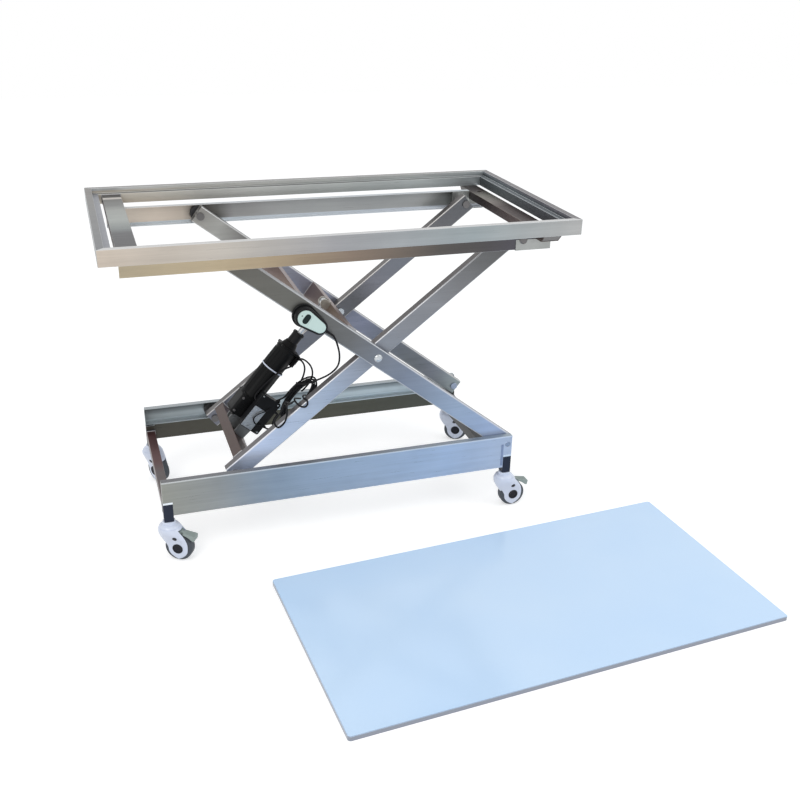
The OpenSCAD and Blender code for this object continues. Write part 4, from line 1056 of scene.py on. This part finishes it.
mid_x = (PIVOT_X + ROLLER_X) / 2
mid_z = (HIGH_Z + LOW_Z) / 2
for side, name, out in ((-1, "front", LIE), (1, "back", LIE_BACK)):
    piece("centre_cap_" + name, dome(8.2, 1.8),
          TABLE @ move(mid_x, side * (ARM_FACE_Y + 3.6), mid_z) @ out, "arm_a", bright_metal,
          smooth=50)
    pins = []
    for y0, y1, r in ((192.7, 241.2, 8), (188.7, 192.7, 11), (223.3, 239, 11)):
        edge = min(1.2, (y1 - y0) / 4)
        pins.append((lathe([(0, y0), (r - edge, y0), (r, y0 + edge), (r, y1 - edge),
                            (r - edge, y1), (0, y1)], 40),
                     TABLE @ move(PIVOT_X, 0, LOW_Z) @ out))
    piece("lower_pin_" + name, merge(*pins), None, "base", pin_metal,
          replaces=("lower_pivot_bolts",))

# Slanted plates close the right top cross tube, as (y, z) at its back end
SLANT = [(299.9, 833.2), (278.5, 811.8), (276.5, 811.8), (297.9, 833.2)]
caps = [(prism([(side * y, z) for y, z in SLANT], 508.8, 555.2), ALONG_X) for side in (-1, 1)]
piece("cross_end_caps", merge(*caps), TABLE, "top", bolt_metal, "steel")
BASE_FACE_Y = 241
HIGHLIGHT_L = 25


def on_rails(x0, x1, t, z0, z1):
    """A plate of thickness t on the outer face of each base rail."""
    return [block(x0, x1, *sorted((s * BASE_FACE_Y, s * (BASE_FACE_Y + t))), z0, z1)
            for s in (-1, 1)]


# Thin bright strips on the base rails at the foot of each post collar: a painted highlight, not a
# part
highlight_strips = [highlight_strip for x in (BASE_LEFT, BASE_RIGHT - HIGHLIGHT_L)
        for highlight_strip in on_rails(x, x + HIGHLIGHT_L, 0.9, 165.2, 171)]
piece("post_highlight_strips", merge(*highlight_strips), TABLE, "base", highlight_metal, edge=0.0003)
piece("post_seams", merge(*on_rails(453, 460, 0.6, 138, 206)), TABLE, "base", seam_metal,
      edge=0.0002)


# Weld beads where tubes meet

def bead(points, r, closed=True):
    """A weld bead of uneven thickness along straight runs between points."""
    run = []
    points = [Vector(p) for p in points]
    if closed:
        points = points + points[:1]
    for a, b in zip(points, points[1:]):
        n = max(2, int((b - a).length / 1.6))
        run += [a.lerp(b, k / n) for k in range(n)]
    run.append(points[-1])
    bm = tube(run, r, 8)
    bm.verts.ensure_lookup_table()
    for i, p in enumerate(run):
        swell = 1 + 0.2 * sin(2.1 * i) + 0.1 * sin(0.73 * i)
        for k in range(8):
            v = bm.verts[8 * i + k]
            v.co = p + (v.co - p) * swell
    return bm


def tube_welds(name, m, x0, x1, z0, z1, reach, body):
    """Beads round both ends of a cross tube that spans y from -reach to reach."""
    beads = [bead([(x0, y, z0), (x1, y, z0), (x1, y, z1), (x0, y, z1)], 1.7)
             for y in (-reach, reach)]
    piece(name, merge(*beads), m, body, weld_metal, smooth=60)


tube_welds("welds_upper_tie", ARM_A, 205, 230, -25, 25, 193, "arm_a")
tube_welds("welds_beam", ARM_A, 379.4, 404.4, -25, 25, 193, "arm_a")
tube_welds("welds_lower_tie", ARM_B, 20, 50, -25, 25, 163, "arm_b")
tube_welds("welds_left_cross", TABLE, -557, -507, 835, 860, 286, "top")
tube_welds("welds_base_left", TABLE, BASE_LEFT, -479, 131, 161, 216, "base")
tube_welds("welds_base_right", TABLE, 436, BASE_RIGHT, 131, 161, 216, "base")
SEAT_BEAD_Z = 862.2
corner_beads = [
    bead([(x * 581, y * 301, SEAT_BEAD_Z), (x * 567, y * 287, SEAT_BEAD_Z)], 0.9, False)
    for x in (-1, 1) for y in (-1, 1)]
piece("welds_corners", merge(*corner_beads), TABLE, "top", weld_metal, smooth=60)


# Floor, world and lamps

FLOOR_HALF = 9
FLOOR_Z = -0.0004
corners = [(x * FLOOR_HALF, y * FLOOR_HALF, FLOOR_Z)
           for x, y in ((-1, -1), (1, -1), (1, 1), (-1, 1))]
floor_mesh = bpy.data.meshes.new("floor")
floor_mesh.from_pydata(corners, [], [(0, 1, 2, 3)])
floor = bpy.data.objects.new("floor", floor_mesh)
scene.collection.objects.link(floor)


def pick_by_ray(tree, kinds, plain, bright, output):
    """Sends the bright shader to rays of the named kinds, and the plain one to all others."""
    seen = tree.nodes.new("ShaderNodeLightPath")
    value = seen.outputs[kinds[0]]
    for kind in kinds[1:]:
        most = add_node(tree, "ShaderNodeMath", operation="MAXIMUM")
        tree.links.new(value, most.inputs[0])
        tree.links.new(seen.outputs[kind], most.inputs[1])
        value = most.outputs[0]
    pick = tree.nodes.new("ShaderNodeMixShader")
    for i, source in enumerate((value, plain.outputs[0], bright.outputs[0])):
        tree.links.new(source, pick.inputs[i])
    tree.links.new(pick.outputs[0], tree.nodes.new(output).inputs[0])


def fresh_tree(owner):
    owner.use_nodes = True
    owner.node_tree.nodes.clear()
    return owner.node_tree


ground = bpy.data.materials.new("pale floor")
floor_mesh.materials.append(ground)
tree = fresh_tree(ground)
plain = add_node(tree, "ShaderNodeBsdfDiffuse", [("Color", (0.8, 0.8, 0.8, 1))])
glow = add_node(tree, "ShaderNodeEmission", [("Strength", 0.45)])
both = tree.nodes.new("ShaderNodeAddShader")
tree.links.new(plain.outputs[0], both.inputs[0])
tree.links.new(glow.outputs[0], both.inputs[1])
SEEN_BY = ("Is Camera Ray", "Is Glossy Ray")
pick_by_ray(tree, SEEN_BY, plain, both, "ShaderNodeOutputMaterial")

scene.world = bpy.data.worlds.new("studio")
tree = fresh_tree(scene.world)
BACKGROUND = "ShaderNodeBackground"
dim = add_node(tree, BACKGROUND, [("Color", (0.97, 0.985, 1.0, 1)), ("Strength", 0.72)])
white = add_node(tree, BACKGROUND, [("Color", (1, 1, 1, 1)), ("Strength", 1.0)])
pick_by_ray(tree, SEEN_BY + ("Is Transmission Ray",), dim, white, "ShaderNodeOutputWorld")


LAMP_AIM = Vector((0, 0, 0.4))


def lamp(name, place, size, power, tint):
    data = bpy.data.lights.new(name, "AREA")
    data.shape = "SQUARE"
    data.size = size
    data.energy = power
    data.color = tint
    obj = bpy.data.objects.new(name, data)
    scene.collection.objects.link(obj)
    obj.location = place
    obj.rotation_euler = (LAMP_AIM - Vector(place)).to_track_quat("-Z", "Y").to_euler()


lamp("key lamp", (-2.2, -2.4, 3.4), 2.4, 55, (1.0, 0.98, 0.95))
lamp("fill lamp", (2.8, -1.2, 2.6), 2.6, 26, (0.93, 0.97, 1.0))
